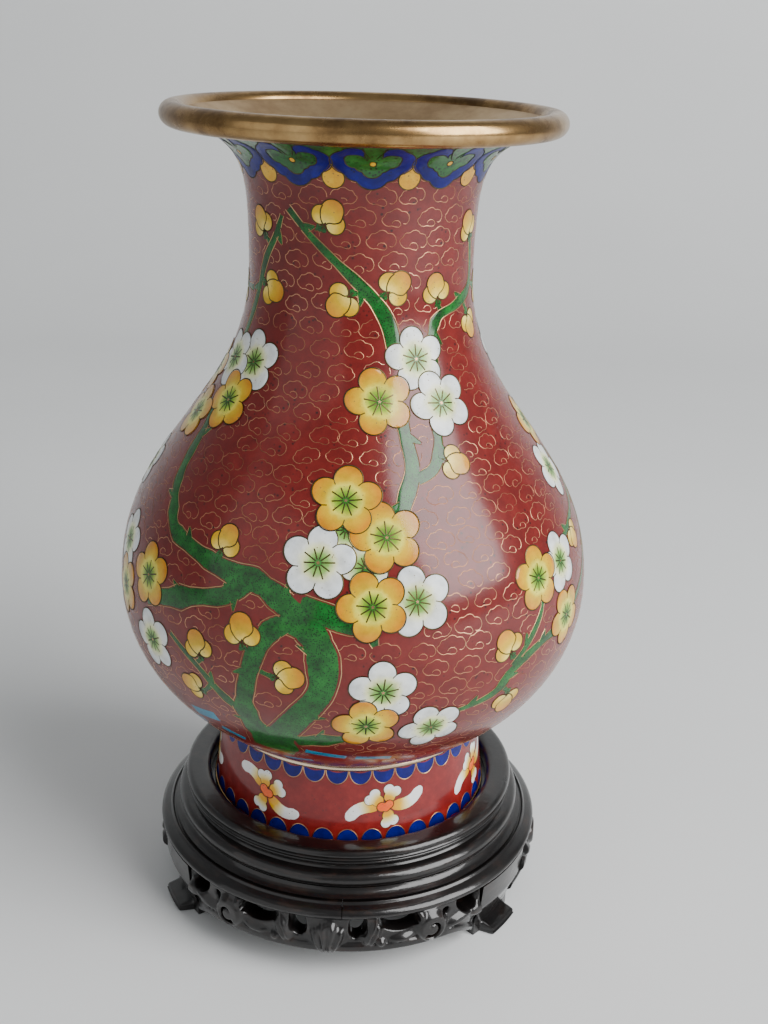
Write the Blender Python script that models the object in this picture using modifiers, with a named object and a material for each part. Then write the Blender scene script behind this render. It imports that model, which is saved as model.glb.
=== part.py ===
"""Baluster cloisonne vase seated in a carved, three-legged hardwood stand.

The vase is a soldered copper body in four raised sections, coated with enamel, with a brass
bead at the mouth, a brass ring at the waist and another under the foot. The stand is a turned
ring with a recess for the foot, on a shoulder of three segments, three pierced aprons and
three scroll legs. Metres, +Z up, origin under the middle of the stand on the floor.
"""
import math

import bmesh
import bpy
from mathutils import Matrix

# Turned pieces
STEPS = 36                      # facets round every turned piece
ROWS_PER_ARC = (5, 5, 8)        # rows of facets on each arc of the vase's outline
GAP = 0.0003                    # clearance between pieces that touch

# Vase outline, heights measured from the underside of the foot
VASE_HEIGHT = 0.2306
FOOT_HEIGHT = 0.0275            # underside to the middle of the waist ring
FOOT_BASE_RADIUS = 0.0482
FOOT_TOP_RADIUS = 0.0448
BELLY_RADIUS = 0.0775
BELLY_HEIGHT = 0.0800           # height of the widest line
NECK_RADIUS = 0.0348
NECK_HEIGHT = 0.1825            # height of the narrowest line
MOUTH_RADIUS = 0.0609           # outside of the bead
BEAD_RADIUS = 0.0036
NECK_SEAM_HEIGHT = 0.1500       # solder seam between belly and neck
COLLAR_WIDTH = 0.0160           # depth of the cloud collar border under the mouth

# Walls of the vase
COPPER = 0.0012
ENAMEL = 0.0009
RING_WIRE = 0.0010              # half thickness of the waist ring
COLLAR_WIRE = 0.0006            # height of the wire under the collar border
FOOT_EDGE = 0.0016              # height of the brass ring under the foot
BASE_RECESS = 0.0060            # underside of the foot up to the base enamel

# Stand, heights measured from the floor
SEAT_HEIGHT = 0.0374            # floor of the recess
RECESS_DEPTH = 0.0056           # lip above the seat
RECESS_CLEARANCE = 0.0013       # foot to the inside of the lip
LIP_WIDTH = 0.0087
MOULDING_HEIGHT = 0.0092
MOULDING_SWELL = 0.0026         # torus outside the lip
LEDGE_WIDTH = 0.0060            # ledge that carries the seat panel
SEAT_THICKNESS = 0.0050
SHOULDER_HEIGHT = 0.0040
SHOULDER_REACH = 0.0094         # shoulder edge outside the lip
SHOULDER_DEPTH = 0.0190         # radial width of the shoulder ring
APRON_DROP = 0.0132             # apron's height below the shoulder
APRON_THICKNESS = 0.0060
LEG_COUNT = 3
FIRST_LEG_ANGLE = 55.0          # degrees from the front, towards +X
LEG_HALF_ANGLE = 12.0           # half of the arc that a leg takes
LEG_DEPTH = 0.0145
TOE_REACH = 0.0026              # toe outside the leg's knee
SEGMENT_JOINT_OFFSET = 4.0      # degrees from the middle of the apron to the shoulder joint
DOWEL_RADIUS = 0.0020
DOWEL_LENGTH = 0.0180
DOWEL_DEPTH_IN_RING = 0.0050

# Heights that follow
SHOULDER_TOP = SEAT_HEIGHT - MOULDING_HEIGHT - GAP
SHOULDER_BOTTOM = SHOULDER_TOP - SHOULDER_HEIGHT
LEG_TOP = SHOULDER_BOTTOM - GAP
VASE_BASE = SEAT_HEIGHT + GAP
LIP_INNER_RADIUS = FOOT_BASE_RADIUS + RECESS_CLEARANCE
LIP_OUTER_RADIUS = LIP_INNER_RADIUS + LIP_WIDTH
SHOULDER_RADIUS = LIP_OUTER_RADIUS + SHOULDER_REACH
SEAT_RADIUS = LIP_INNER_RADIUS + 0.4 * LIP_WIDTH
LEDGE_RADIUS = SEAT_RADIUS - LEDGE_WIDTH
TORUS_RADIUS = LIP_OUTER_RADIUS + MOULDING_SWELL

COLLECTION_NAME = "cloisonne_vase"
CUTTER_COLLECTION_NAME = "cutters"


# Scene -------------------------------------------------------------------------------------

def clear_scene():
    """Remove every object that is already in the file."""
    for old_object in list(bpy.data.objects):
        bpy.data.objects.remove(old_object, do_unlink=True)


def new_collection(name):
    """Return an empty collection linked to the scene."""
    collection = bpy.data.collections.new(name)
    bpy.context.scene.collection.children.link(collection)
    return collection


def principled(name, colour, roughness, metallic):
    """Return a plain Principled BSDF material."""
    material = bpy.data.materials.new(name)
    material.use_nodes = True
    shader = material.node_tree.nodes["Principled BSDF"]
    shader.inputs["Base Color"].default_value = (*colour, 1.0)
    shader.inputs["Roughness"].default_value = roughness
    shader.inputs["Metallic"].default_value = metallic
    return material


def add_object(name, mesh, collection, material=None):
    """Link a mesh to a collection under a name, with its material."""
    new_object = bpy.data.objects.new(name, mesh)
    collection.objects.link(new_object)
    if material:
        mesh.materials.append(material)
    return new_object


# Vase outline ------------------------------------------------------------------------------

def bezier(control_points, t):
    """Point and direction on a cubic Bezier arc in the (radius, height) plane."""
    p0, p1, p2, p3 = control_points
    s = 1.0 - t
    point = [
        s ** 3 * a + 3 * s * s * t * b + 3 * s * t * t * c + t ** 3 * d
        for a, b, c, d in zip(p0, p1, p2, p3)
    ]
    direction = [
        s * s * (b - a) + 2 * s * t * (c - b) + t * t * (d - c)
        for a, b, c, d in zip(p0, p1, p2, p3)
    ]
    return point, direction


def body_arcs():
    """Three Bezier arcs: waist to widest line, widest to narrowest line, neck to flare."""
    waist = (FOOT_TOP_RADIUS + 0.0012, FOOT_HEIGHT + 2 * RING_WIRE)
    widest = (BELLY_RADIUS, BELLY_HEIGHT)
    narrowest = (NECK_RADIUS, NECK_HEIGHT)
    flare = (MOUTH_RADIUS - 1.6 * BEAD_RADIUS, VASE_HEIGHT - 1.15 * BEAD_RADIUS)

    def between(start, end, across, up):
        return (start[0] + across * (end[0] - start[0]), start[1] + up * (end[1] - start[1]))

    return [
        (waist, between(waist, widest, 0.59, 0.24), between(waist, widest, 1.0, 0.575), widest),
        (
            widest,
            between(widest, narrowest, 0.0, 0.45),
            between(widest, narrowest, 1.0, 0.57),
            narrowest,
        ),
        (
            narrowest,
            between(narrowest, flare, 0.0, 0.80),
            between(narrowest, flare, 0.12, 0.80),
            flare,
        ),
    ]


def body_point(t, inset):
    """Point at inset inside the body's outer surface; t runs 0 to 3 from waist to mouth."""
    index = min(int(t), 2)
    point, direction = bezier(body_arcs()[index], t - index)
    length = math.hypot(*direction)
    return (point[0] - inset * direction[1] / length, point[1] + inset * direction[0] / length)


def body_parameter(height):
    """Parameter t at which the body's outer surface reaches a height, by bisection."""
    low = 0.0
    high = 3.0
    for _ in range(40):
        middle = 0.5 * (low + high)
        if body_point(middle, 0.0)[1] < height:
            low = middle
        else:
            high = middle
    return 0.5 * (low + high)


def mouth_parameter():
    """Parameter t at which the flare comes within the clearance of the mouth bead."""
    bead_centre = (MOUTH_RADIUS - BEAD_RADIUS, VASE_HEIGHT - BEAD_RADIUS)
    low = 2.0
    high = 3.0
    for _ in range(40):
        middle = 0.5 * (low + high)
        if math.dist(body_point(middle, 0.0), bead_centre) > BEAD_RADIUS + GAP:
            low = middle
        else:
            high = middle
    return low


def body_stations():
    """Parameters of the rows that every layer of the body shares, so its facets lie parallel."""
    return [
        index + row / rows for index, rows in enumerate(ROWS_PER_ARC) for row in range(rows)
    ]


def body_band(bottom, top, outer_inset, thickness):
    """Closed outline of a wall between two heights, top to bottom outside, then back inside."""
    t_bottom = body_parameter(bottom)
    t_top = min(body_parameter(top), mouth_parameter())
    clear = 0.02
    between = [t for t in body_stations() if t_bottom + clear < t < t_top - clear]
    parameters = [t_top] + between[::-1] + [t_bottom]
    outside = [body_point(t, outer_inset) for t in parameters]
    inside = [body_point(t, outer_inset + thickness) for t in reversed(parameters)]
    return outside + inside


def foot_radius(height):
    """Outer radius of the foot's enamel, a shallow curve from base to waist."""
    share = height / FOOT_HEIGHT
    return FOOT_BASE_RADIUS + (FOOT_TOP_RADIUS - FOOT_BASE_RADIUS) * share ** 0.8


def foot_band(bottom, top, outer_inset, thickness, rows):
    """Closed outline of a wall of the foot between two heights."""
    heights = [top + (bottom - top) * row / (rows - 1) for row in range(rows)]
    outside = [(foot_radius(height) - outer_inset, height) for height in heights]
    inside = [(radius - thickness, height) for radius, height in reversed(outside)]
    return outside + inside


# Turned pieces -----------------------------------------------------------------------------

def round_section(centre_radius, centre_height, section_radius, points):
    """Closed circular section of a ring, run clockwise from its top."""
    angles = [math.pi / 2 - math.tau * point / points for point in range(points)]
    return [
        (centre_radius + section_radius * math.cos(a), centre_height + section_radius * math.sin(a))
        for a in angles
    ]


def arc_points(centre, radius, start_degrees, end_degrees, count):
    """Points along a circular arc of an outline."""
    angles = [
        math.radians(start_degrees + (end_degrees - start_degrees) * step / (count - 1))
        for step in range(count)
    ]
    return [(centre[0] + radius * math.cos(a), centre[1] + radius * math.sin(a)) for a in angles]


def turned(name, outline, base_height, collection, material):
    """Turn a closed (radius, height) outline about Z with a Screw modifier."""
    mesh = bpy.data.meshes.new(name)
    points = [(radius, 0.0, height + base_height) for radius, height in outline]
    edges = [(index, (index + 1) % len(points)) for index in range(len(points))]
    mesh.from_pydata(points, edges, [])
    piece = add_object(name, mesh, collection, material)
    screw = piece.modifiers.new("turn", "SCREW")
    screw.axis = "Z"
    screw.angle = math.tau
    screw.steps = STEPS
    screw.render_steps = STEPS
    screw.use_merge_vertices = True
    screw.merge_threshold = 0.00001
    screw.use_smooth_shade = True
    return piece


def disc(name, radius, bottom, top, collection, material):
    """A flat round plate."""
    mesh = bpy.data.meshes.new(name)
    body = bmesh.new()
    bmesh.ops.create_cone(
        body,
        cap_ends=True,
        segments=STEPS,
        radius1=radius,
        radius2=radius,
        depth=top - bottom,
        matrix=Matrix.Translation((0.0, 0.0, 0.5 * (bottom + top))),
    )
    body.to_mesh(mesh)
    body.free()
    return add_object(name, mesh, collection, material)


def sector(name, outline, start_degrees, end_degrees, steps, collection, material):
    """Spin a filled (radius, height) outline through part of a turn.

    Angles count from the front (-Y) towards +X.
    """
    mesh = bpy.data.meshes.new(name)
    body = bmesh.new()
    start = math.radians(start_degrees)
    corners = [
        body.verts.new((radius * math.sin(start), -radius * math.cos(start), height))
        for radius, height in outline
    ]
    face = body.faces.new(corners)
    bmesh.ops.spin(
        body,
        geom=[face] + list(face.verts) + list(face.edges),
        cent=(0.0, 0.0, 0.0),
        axis=(0.0, 0.0, 1.0),
        angle=math.radians(end_degrees - start_degrees),
        steps=steps,
        use_duplicate=False,
    )
    bmesh.ops.recalc_face_normals(body, faces=body.faces)
    body.to_mesh(mesh)
    body.free()
    return add_object(name, mesh, collection, material)


def cut(piece, cutter):
    """Take a cutter out of a piece with a Boolean modifier."""
    cutter.hide_render = True
    cutter.display_type = "WIRE"
    boolean = piece.modifiers.new(cutter.name, "BOOLEAN")
    boolean.operation = "DIFFERENCE"
    boolean.object = cutter
    boolean.solver = "EXACT"


def upright_cylinder(name, radius, bottom, top, ring_radius, angle_degrees, sides, collection):
    """A vertical cylinder standing at an angle from the front on a ring."""
    angle = math.radians(angle_degrees)
    mesh = bpy.data.meshes.new(name)
    body = bmesh.new()
    bmesh.ops.create_cone(
        body, cap_ends=True, segments=sides, radius1=radius, radius2=radius, depth=top - bottom
    )
    body.to_mesh(mesh)
    body.free()
    cylinder = add_object(name, mesh, collection)
    cylinder.location = (
        ring_radius * math.sin(angle),
        -ring_radius * math.cos(angle),
        0.5 * (bottom + top),
    )
    return cylinder


def radial_cutter(name, width, height, centre_height, angle_degrees, sides, collection):
    """An elliptical cylinder that points outwards from Z and pierces an apron."""
    angle = math.radians(angle_degrees)
    mesh = bpy.data.meshes.new(name)
    body = bmesh.new()
    shape = Matrix.Rotation(math.pi / 2, 4, "X") @ Matrix.Diagonal((width, height, 1.0, 1.0))
    bmesh.ops.create_cone(
        body,
        cap_ends=True,
        segments=sides,
        radius1=0.5,
        radius2=0.5,
        depth=3.0 * APRON_THICKNESS,
        matrix=shape,
    )
    body.to_mesh(mesh)
    body.free()
    cutter = add_object(name, mesh, collection)
    ring_radius = SHOULDER_RADIUS - 0.5 * APRON_THICKNESS
    cutter.location = (
        ring_radius * math.sin(angle),
        -ring_radius * math.cos(angle),
        centre_height,
    )
    cutter.rotation_euler = (0.0, 0.0, angle)
    return cutter


# Vase --------------------------------------------------------------------------------------

def build_vase(collection):
    """Copper body, brass rings and enamel coats of the vase."""
    copper = principled("copper", (0.42, 0.22, 0.12), 0.45, 1.0)
    brass = principled("brass", (0.60, 0.42, 0.20), 0.35, 1.0)
    red_enamel = principled("red_enamel", (0.27, 0.03, 0.025), 0.15, 0.0)
    foot_red = principled("foot_red_enamel", (0.45, 0.06, 0.04), 0.15, 0.0)
    blue_enamel = principled("blue_enamel", (0.02, 0.03, 0.38), 0.15, 0.0)
    counter_enamel = principled("counter_enamel", (0.05, 0.30, 0.38), 0.25, 0.0)

    bead_height = VASE_HEIGHT - BEAD_RADIUS
    bead_centre = MOUTH_RADIUS - BEAD_RADIUS
    mouth = body_point(mouth_parameter(), 0.0)[1]
    collar_bottom = mouth - COLLAR_WIDTH
    metal_inset = ENAMEL + GAP
    waist_top = FOOT_HEIGHT + 2 * RING_WIRE + GAP

    turned(
        "mouth_ring",
        round_section(bead_centre, bead_height, BEAD_RADIUS, 12),
        VASE_BASE, collection, brass,
    )
    turned(
        "neck_shell",
        body_band(NECK_SEAM_HEIGHT + GAP, mouth, metal_inset, COPPER),
        VASE_BASE, collection, copper,
    )
    turned(
        "upper_belly_shell",
        body_band(BELLY_HEIGHT + GAP, NECK_SEAM_HEIGHT - GAP, metal_inset, COPPER),
        VASE_BASE, collection, copper,
    )
    turned(
        "lower_belly_shell",
        body_band(waist_top, BELLY_HEIGHT - GAP, metal_inset, COPPER),
        VASE_BASE, collection, copper,
    )
    turned(
        "collar_enamel",
        body_band(collar_bottom + COLLAR_WIRE + GAP, mouth, 0.0, ENAMEL),
        VASE_BASE, collection, blue_enamel,
    )
    turned(
        "collar_wire",
        body_band(collar_bottom, collar_bottom + COLLAR_WIRE, 0.0, ENAMEL),
        VASE_BASE, collection, brass,
    )
    turned(
        "ground_enamel",
        body_band(waist_top, collar_bottom - GAP, 0.0, ENAMEL),
        VASE_BASE, collection, red_enamel,
    )
    turned(
        "waist_ring",
        round_section(FOOT_TOP_RADIUS + 0.2 * RING_WIRE, FOOT_HEIGHT + RING_WIRE, RING_WIRE, 8),
        VASE_BASE, collection, brass,
    )
    foot_top = FOOT_HEIGHT - GAP
    turned(
        "foot_shell",
        foot_band(FOOT_EDGE + GAP, foot_top, metal_inset, COPPER, 4),
        VASE_BASE, collection, copper,
    )
    turned(
        "foot_enamel",
        foot_band(FOOT_EDGE + GAP, foot_top, 0.0, ENAMEL, 4),
        VASE_BASE, collection, foot_red,
    )
    turned(
        "foot_edge_ring",
        foot_band(0.0, FOOT_EDGE, 0.0, metal_inset + COPPER, 2),
        VASE_BASE, collection, brass,
    )
    base_radius = foot_radius(BASE_RECESS + ENAMEL + COPPER) - metal_inset - COPPER - 2 * GAP
    disc(
        "base_enamel", base_radius,
        VASE_BASE + BASE_RECESS,
        VASE_BASE + BASE_RECESS + ENAMEL,
        collection, counter_enamel,
    )
    disc(
        "base_plate", base_radius,
        VASE_BASE + BASE_RECESS + ENAMEL + GAP,
        VASE_BASE + BASE_RECESS + ENAMEL + GAP + COPPER,
        collection, copper,
    )


# Stand -------------------------------------------------------------------------------------

def lip_outline():
    """Lip ring: rounded top, straight side with two fine grooves."""
    top = SEAT_HEIGHT + RECESS_DEPTH
    bottom = SEAT_HEIGHT + GAP
    rounding = 0.0012
    groove = 0.0005
    inner = arc_points(
        (LIP_INNER_RADIUS + rounding, top - rounding), rounding, 180.0, 90.0, 3
    )
    outer = arc_points(
        (LIP_OUTER_RADIUS - rounding, top - rounding), rounding, 90.0, 0.0, 3
    )
    side = [
        (LIP_OUTER_RADIUS, bottom + 3.2 * groove),
        (LIP_OUTER_RADIUS - groove, bottom + 2.2 * groove),
        (LIP_OUTER_RADIUS, bottom + 1.2 * groove),
        (LIP_OUTER_RADIUS - groove, bottom),
    ]
    return inner + outer + side + [(LIP_INNER_RADIUS, bottom)]


def moulding_outline():
    """Moulding ring: rebate for the seat panel inside, cove, torus and cove outside."""
    top = SEAT_HEIGHT
    bottom = SHOULDER_TOP + GAP
    torus_section = 0.29 * MOULDING_HEIGHT
    torus_height = top - 0.44 * MOULDING_HEIGHT
    torus = arc_points(
        (TORUS_RADIUS - torus_section, torus_height), torus_section, 70.0, -70.0, 5
    )
    outside = [(LIP_OUTER_RADIUS - 0.0012, top), (LIP_OUTER_RADIUS - 0.0012, torus[0][1] + 0.0006)]
    outside += torus
    outside += [(TORUS_RADIUS - 0.0012, bottom + 0.0012), (TORUS_RADIUS + 0.0016, bottom)]
    ledge_height = SEAT_HEIGHT - SEAT_THICKNESS - GAP
    inside = [
        (LEDGE_RADIUS, bottom),
        (LEDGE_RADIUS, ledge_height),
        (SEAT_RADIUS + GAP, ledge_height),
        (SEAT_RADIUS + GAP, top),
    ]
    return outside + inside


def shoulder_outline():
    """Shoulder segment: fine bead inside, sloping band, rounded edge."""
    bead = SHOULDER_RADIUS - 0.0036
    return [
        (SHOULDER_RADIUS - SHOULDER_DEPTH, SHOULDER_TOP),
        (bead, SHOULDER_TOP),
        (bead + 0.0005, SHOULDER_TOP - 0.0004),
        (SHOULDER_RADIUS - 0.0006, SHOULDER_TOP - 0.42 * SHOULDER_HEIGHT),
        (SHOULDER_RADIUS, SHOULDER_TOP - 0.62 * SHOULDER_HEIGHT),
        (SHOULDER_RADIUS - 0.0006, SHOULDER_BOTTOM),
        (SHOULDER_RADIUS - SHOULDER_DEPTH, SHOULDER_BOTTOM),
    ]


def leg_outline():
    """Side view of a scroll leg: swelling knee, pinched ankle and turned-out toe."""
    knee = SHOULDER_RADIUS - 0.0003
    inner = SHOULDER_RADIUS - LEG_DEPTH
    toe = knee + TOE_REACH
    return [
        (inner, LEG_TOP),
        (knee - 0.0005, LEG_TOP),
        (knee + 0.0003, 0.74 * LEG_TOP),
        (knee - 0.0008, 0.50 * LEG_TOP),
        (knee - 0.0016, 0.36 * LEG_TOP),
        (toe - 0.0012, 0.27 * LEG_TOP),
        (toe, 0.16 * LEG_TOP),
        (toe - 0.0004, 0.0),
        (toe - 0.0090, 0.0),
        (inner + 0.0030, 0.30 * LEG_TOP),
        (inner, 0.52 * LEG_TOP),
    ]


def apron_outline():
    """Cross-section of an apron, slightly bowed outwards."""
    outer = SHOULDER_RADIUS - 0.0008
    bottom = LEG_TOP - APRON_DROP
    return [
        (outer - APRON_THICKNESS, LEG_TOP),
        (outer - 0.0006, LEG_TOP),
        (outer, LEG_TOP - 0.5 * APRON_DROP),
        (outer - 0.0006, bottom),
        (outer - APRON_THICKNESS, bottom),
    ]


def build_stand(collection, cutters):
    """Turned rings, shoulder segments, aprons, legs and dowels of the stand."""
    wood = principled("dark_hardwood", (0.022, 0.014, 0.011), 0.25, 0.0)
    turned("stand_lip_ring", lip_outline(), 0.0, collection, wood)
    moulding = turned("stand_moulding_ring", moulding_outline(), 0.0, collection, wood)
    disc(
        "stand_seat_panel", SEAT_RADIUS,
        SEAT_HEIGHT - SEAT_THICKNESS, SEAT_HEIGHT,
        collection, wood,
    )
    pitch = 360.0 / LEG_COUNT
    gap_angle = math.degrees(GAP / SHOULDER_RADIUS)
    dowel_ring = SHOULDER_RADIUS - 0.7 * LEG_DEPTH
    dowel_top = SHOULDER_TOP + GAP + DOWEL_DEPTH_IN_RING
    dowel_bottom = dowel_top - DOWEL_LENGTH

    for index in range(LEG_COUNT):
        number = index + 1
        leg_angle = FIRST_LEG_ANGLE + pitch * index
        apron_angle = leg_angle - 0.5 * pitch
        joint_angle = apron_angle + SEGMENT_JOINT_OFFSET

        shoulder = sector(
            f"shoulder_segment_{number}", shoulder_outline(),
            joint_angle + 0.5 * gap_angle, joint_angle + pitch - 0.5 * gap_angle,
            12, collection, wood,
        )
        leg = sector(
            f"leg_{number}", leg_outline(),
            leg_angle - LEG_HALF_ANGLE, leg_angle + LEG_HALF_ANGLE,
            4, collection, wood,
        )
        apron_start = leg_angle - pitch + LEG_HALF_ANGLE + gap_angle
        apron_end = leg_angle - LEG_HALF_ANGLE - gap_angle
        apron = sector(
            f"apron_{number}", apron_outline(), apron_start, apron_end, 10, collection, wood
        )
        pierce_height = LEG_TOP - 0.45 * APRON_DROP
        half_arc = 0.5 * (apron_end - apron_start)
        for share in (-0.86, -0.44, 0.44, 0.86):
            hole = radial_cutter(
                f"apron_hole_{number}_{share:+.2f}",
                0.0075, 0.42 * APRON_DROP, pierce_height,
                apron_angle + share * half_arc,
                8, cutters,
            )
            cut(apron, hole)

        dowel = upright_cylinder(
            f"leg_dowel_{number}", DOWEL_RADIUS,
            dowel_bottom, dowel_top,
            dowel_ring, leg_angle,
            10, collection,
        )
        dowel.data.materials.append(wood)
        bore = upright_cylinder(
            f"dowel_bore_{number}", DOWEL_RADIUS + GAP,
            dowel_bottom - GAP, dowel_top + GAP,
            dowel_ring, leg_angle,
            10, cutters,
        )
        for bored_piece in (moulding, shoulder, leg):
            cut(bored_piece, bore)


def main():
    clear_scene()
    collection = new_collection(COLLECTION_NAME)
    cutters = new_collection(CUTTER_COLLECTION_NAME)
    build_vase(collection)
    build_stand(collection, cutters)


main()
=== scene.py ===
"""The looks of a cloisonne vase on its carved stand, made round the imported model.

Lengths are millimetres until a piece is put in its mesh, which is in metres.
Azimuth 0 is the front, -Y, and grows towards +X.
"""

import bpy
import numpy as np
from mathutils import Matrix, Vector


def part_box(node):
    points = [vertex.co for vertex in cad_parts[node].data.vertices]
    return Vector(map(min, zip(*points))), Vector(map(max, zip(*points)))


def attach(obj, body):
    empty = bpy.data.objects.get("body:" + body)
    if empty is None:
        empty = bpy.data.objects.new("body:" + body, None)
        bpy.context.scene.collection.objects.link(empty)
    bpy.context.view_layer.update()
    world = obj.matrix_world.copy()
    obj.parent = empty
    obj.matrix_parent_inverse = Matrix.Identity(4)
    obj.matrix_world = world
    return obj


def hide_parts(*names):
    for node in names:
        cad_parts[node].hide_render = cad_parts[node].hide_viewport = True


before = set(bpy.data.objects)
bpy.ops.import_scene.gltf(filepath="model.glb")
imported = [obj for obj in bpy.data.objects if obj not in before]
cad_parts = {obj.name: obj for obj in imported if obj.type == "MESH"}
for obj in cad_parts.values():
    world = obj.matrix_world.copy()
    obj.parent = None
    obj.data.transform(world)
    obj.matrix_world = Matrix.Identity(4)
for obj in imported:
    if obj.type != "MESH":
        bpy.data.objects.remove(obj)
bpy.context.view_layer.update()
MM = 0.001


# ---- Lip ring of the stand ----------------------------------------------------------------
# The top of the stand: a turned hardwood ring, rounded on top, with two fine beads cut
# under its edge. It is glued on the seat panel and keeps the foot of the vase in place.

def node(material, kind, inputs=None, **settings):
    """Adds a shader node. An input that is a socket is linked, and any other is set as a value."""
    tree = material.node_tree
    added = tree.nodes.new(kind)
    for setting, value in settings.items():
        setattr(added, setting, value)
    for socket, value in (inputs or {}).items():
        if isinstance(value, bpy.types.NodeSocket):
            tree.links.new(value, added.inputs[socket])
        else:
            added.inputs[socket].default_value = value
    return added


def glossy(name, roughness, metal=0.0, coat=0.0, coat_roughness=0.05, specular=0.5):
    """A material whose shader has its plain numbers set on its own sockets."""
    material = bpy.data.materials.new(name)
    material.use_nodes = True
    shader = material.node_tree.nodes["Principled BSDF"]
    for socket, value in {
        "Roughness": roughness,
        "Metallic": metal,
        "Coat Weight": coat,
        "Coat Roughness": coat_roughness,
        "Specular IOR Level": specular,
    }.items():
        shader.inputs[socket].default_value = value
    return material


def feed(material, socket, source):
    """Links a node's output to the material's shader."""
    shader = material.node_tree.nodes["Principled BSDF"]
    material.node_tree.links.new(source, shader.inputs[socket])


def ramp(material, factor, stops):
    """Colours or greys along a factor: stops are (place, colour), a grey being one number."""
    ramped = node(material, "ShaderNodeValToRGB", {"Fac": factor})
    marks = ramped.color_ramp.elements
    while len(marks) < len(stops):
        marks.new(0.5)
    for mark, (place, colour) in zip(marks, stops):
        shade = (colour,) * 3 if isinstance(colour, (int, float)) else colour
        mark.position = place
        mark.color = (*shade, 1.0)
    return ramped.outputs["Color"]


def grain(material, scale, detail=4.0, stretch=(1.0, 1.0, 1.0), roughness=0.55, seed=0.0):
    """Cloudy noise on Object coordinates; stretch above 1 makes it finer along that axis."""
    place = node(material, "ShaderNodeTexCoord")
    turned_place = node(
        material, "ShaderNodeMapping",
        {"Vector": place.outputs["Object"], "Scale": stretch, "Location": (seed, seed, seed)},
    )
    return node(
        material, "ShaderNodeTexNoise",
        {"Vector": turned_place.outputs["Vector"], "Scale": scale, "Detail": detail,
         "Roughness": roughness},
    ).outputs["Fac"]


def relief(material, height, depth, strength=1.0):
    """Bumps the shader's normal by a height, depth millimetres high."""
    bumped = node(
        material, "ShaderNodeBump",
        {"Height": height, "Distance": depth * MM, "Strength": strength},
    )
    feed(material, "Normal", bumped.outputs["Normal"])
    feed(material, "Coat Normal", bumped.outputs["Normal"])


def lacquered_wood(name, stretch, seed):
    """Near-black hardwood under worn lacquer: brown grain, pores, and a duller dusty film."""
    wood = glossy(name, 0.3, coat=0.8, coat_roughness=0.09, specular=0.2)
    streaks = grain(wood, 160.0, 6.0, stretch, seed=seed)
    feed(wood, "Base Color", ramp(wood, streaks, [
        (0.30, (0.0015, 0.0012, 0.0013)),
        (0.55, (0.0042, 0.0030, 0.0028)),
        (0.72, (0.016, 0.0085, 0.0062)),
    ]))
    film = grain(wood, 60.0, 5.0, seed=seed + 3.0)
    feed(wood, "Roughness", ramp(wood, film, [(0.3, 0.26), (0.7, 0.44)]))
    relief(wood, grain(wood, 420.0, 4.0, stretch, seed=seed), 0.05)
    return wood


turned_wood = lacquered_wood("turned_hardwood", (1.0, 1.0, 5.0), 0.0)


def add_piece(name, points, faces, finish, shade=None, crease=32.0):
    """Puts points in millimetres and faces in a mesh, smooth but for edges past crease degrees.

    shade holds two numbers for each point, kept as the piece's own UV map.
    """
    mesh = bpy.data.meshes.new(name)
    mesh.from_pydata(np.asarray(points) * MM, [], faces)
    mesh.shade_smooth()
    mesh.set_sharp_from_angle(angle=np.radians(crease))
    if shade is not None:
        corners = np.empty(len(mesh.loops), np.int32)
        mesh.loops.foreach_get("vertex_index", corners)
        mesh.uv_layers.new(name="shade").data.foreach_set("uv", shade[corners].ravel())
    mesh.materials.append(finish)
    piece = bpy.data.objects.new(name, mesh)
    bpy.context.scene.collection.objects.link(piece)
    return piece


def grid_faces(rows, columns, closed_rows=False, closed_columns=False):
    """Quads of a grid numbered row by row; a closed direction joins its last line to its first."""
    row = np.arange(rows if closed_rows else rows - 1)[:, None]
    column = np.arange(columns if closed_columns else columns - 1)[None, :]
    next_row = (row + 1) % rows * columns
    next_column = (column + 1) % columns
    row = row * columns
    quads = (row + column, next_row + column, next_row + next_column, row + next_column)
    return np.stack(quads, axis=-1).reshape(-1, 4)


def faced_outward(points, quads):
    """Turns a closed skin's quads over if the volume that they enclose comes out negative."""
    a, b, c, d = (points[quads[:, k]] for k in range(4))
    volume = np.sum(a * (np.cross(b, c) + np.cross(c, d)))
    return quads if volume > 0 else quads[:, ::-1]


def end_faces(quads, rows, columns):
    """The two flat ends of a skin that is closed along its rows; they run against the quads' edges."""
    first = np.arange(rows) * columns
    last = first + columns - 1
    if quads[0, 0] == 0:
        return [first[::-1].tolist(), last.tolist()]
    return [first.tolist(), last[::-1].tolist()]


def around(radius, azimuth, height):
    """The point at a radius and height, turned round the axis: x = r sin a, y = -r cos a."""
    return np.stack(np.broadcast_arrays(
        radius * np.sin(azimuth), -radius * np.cos(azimuth), height
    ), axis=-1)


def rounded(corners, steps=6):
    """A closed outline through (across, up, fillet) corners, each fillet an arc-like curve.

    A corner P with fillet f is a quadratic curve from f before P to f after it:
    (1-t)^2 A + 2t(1-t) P + t^2 B.
    """
    corners = np.array(corners, float)
    point, fillet = corners[:, :2], corners[:, 2:]
    before = np.roll(point, 1, axis=0) - point
    after = np.roll(point, -1, axis=0) - point
    start = point + before / np.linalg.norm(before, axis=1, keepdims=True) * fillet
    end = point + after / np.linalg.norm(after, axis=1, keepdims=True) * fillet
    t = np.linspace(0.0, 1.0, steps)[None, :, None]
    curve = (1 - t) ** 2 * start[:, None] + 2 * t * (1 - t) * point[:, None] + t ** 2 * end[:, None]
    return curve.reshape(-1, 2)


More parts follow.
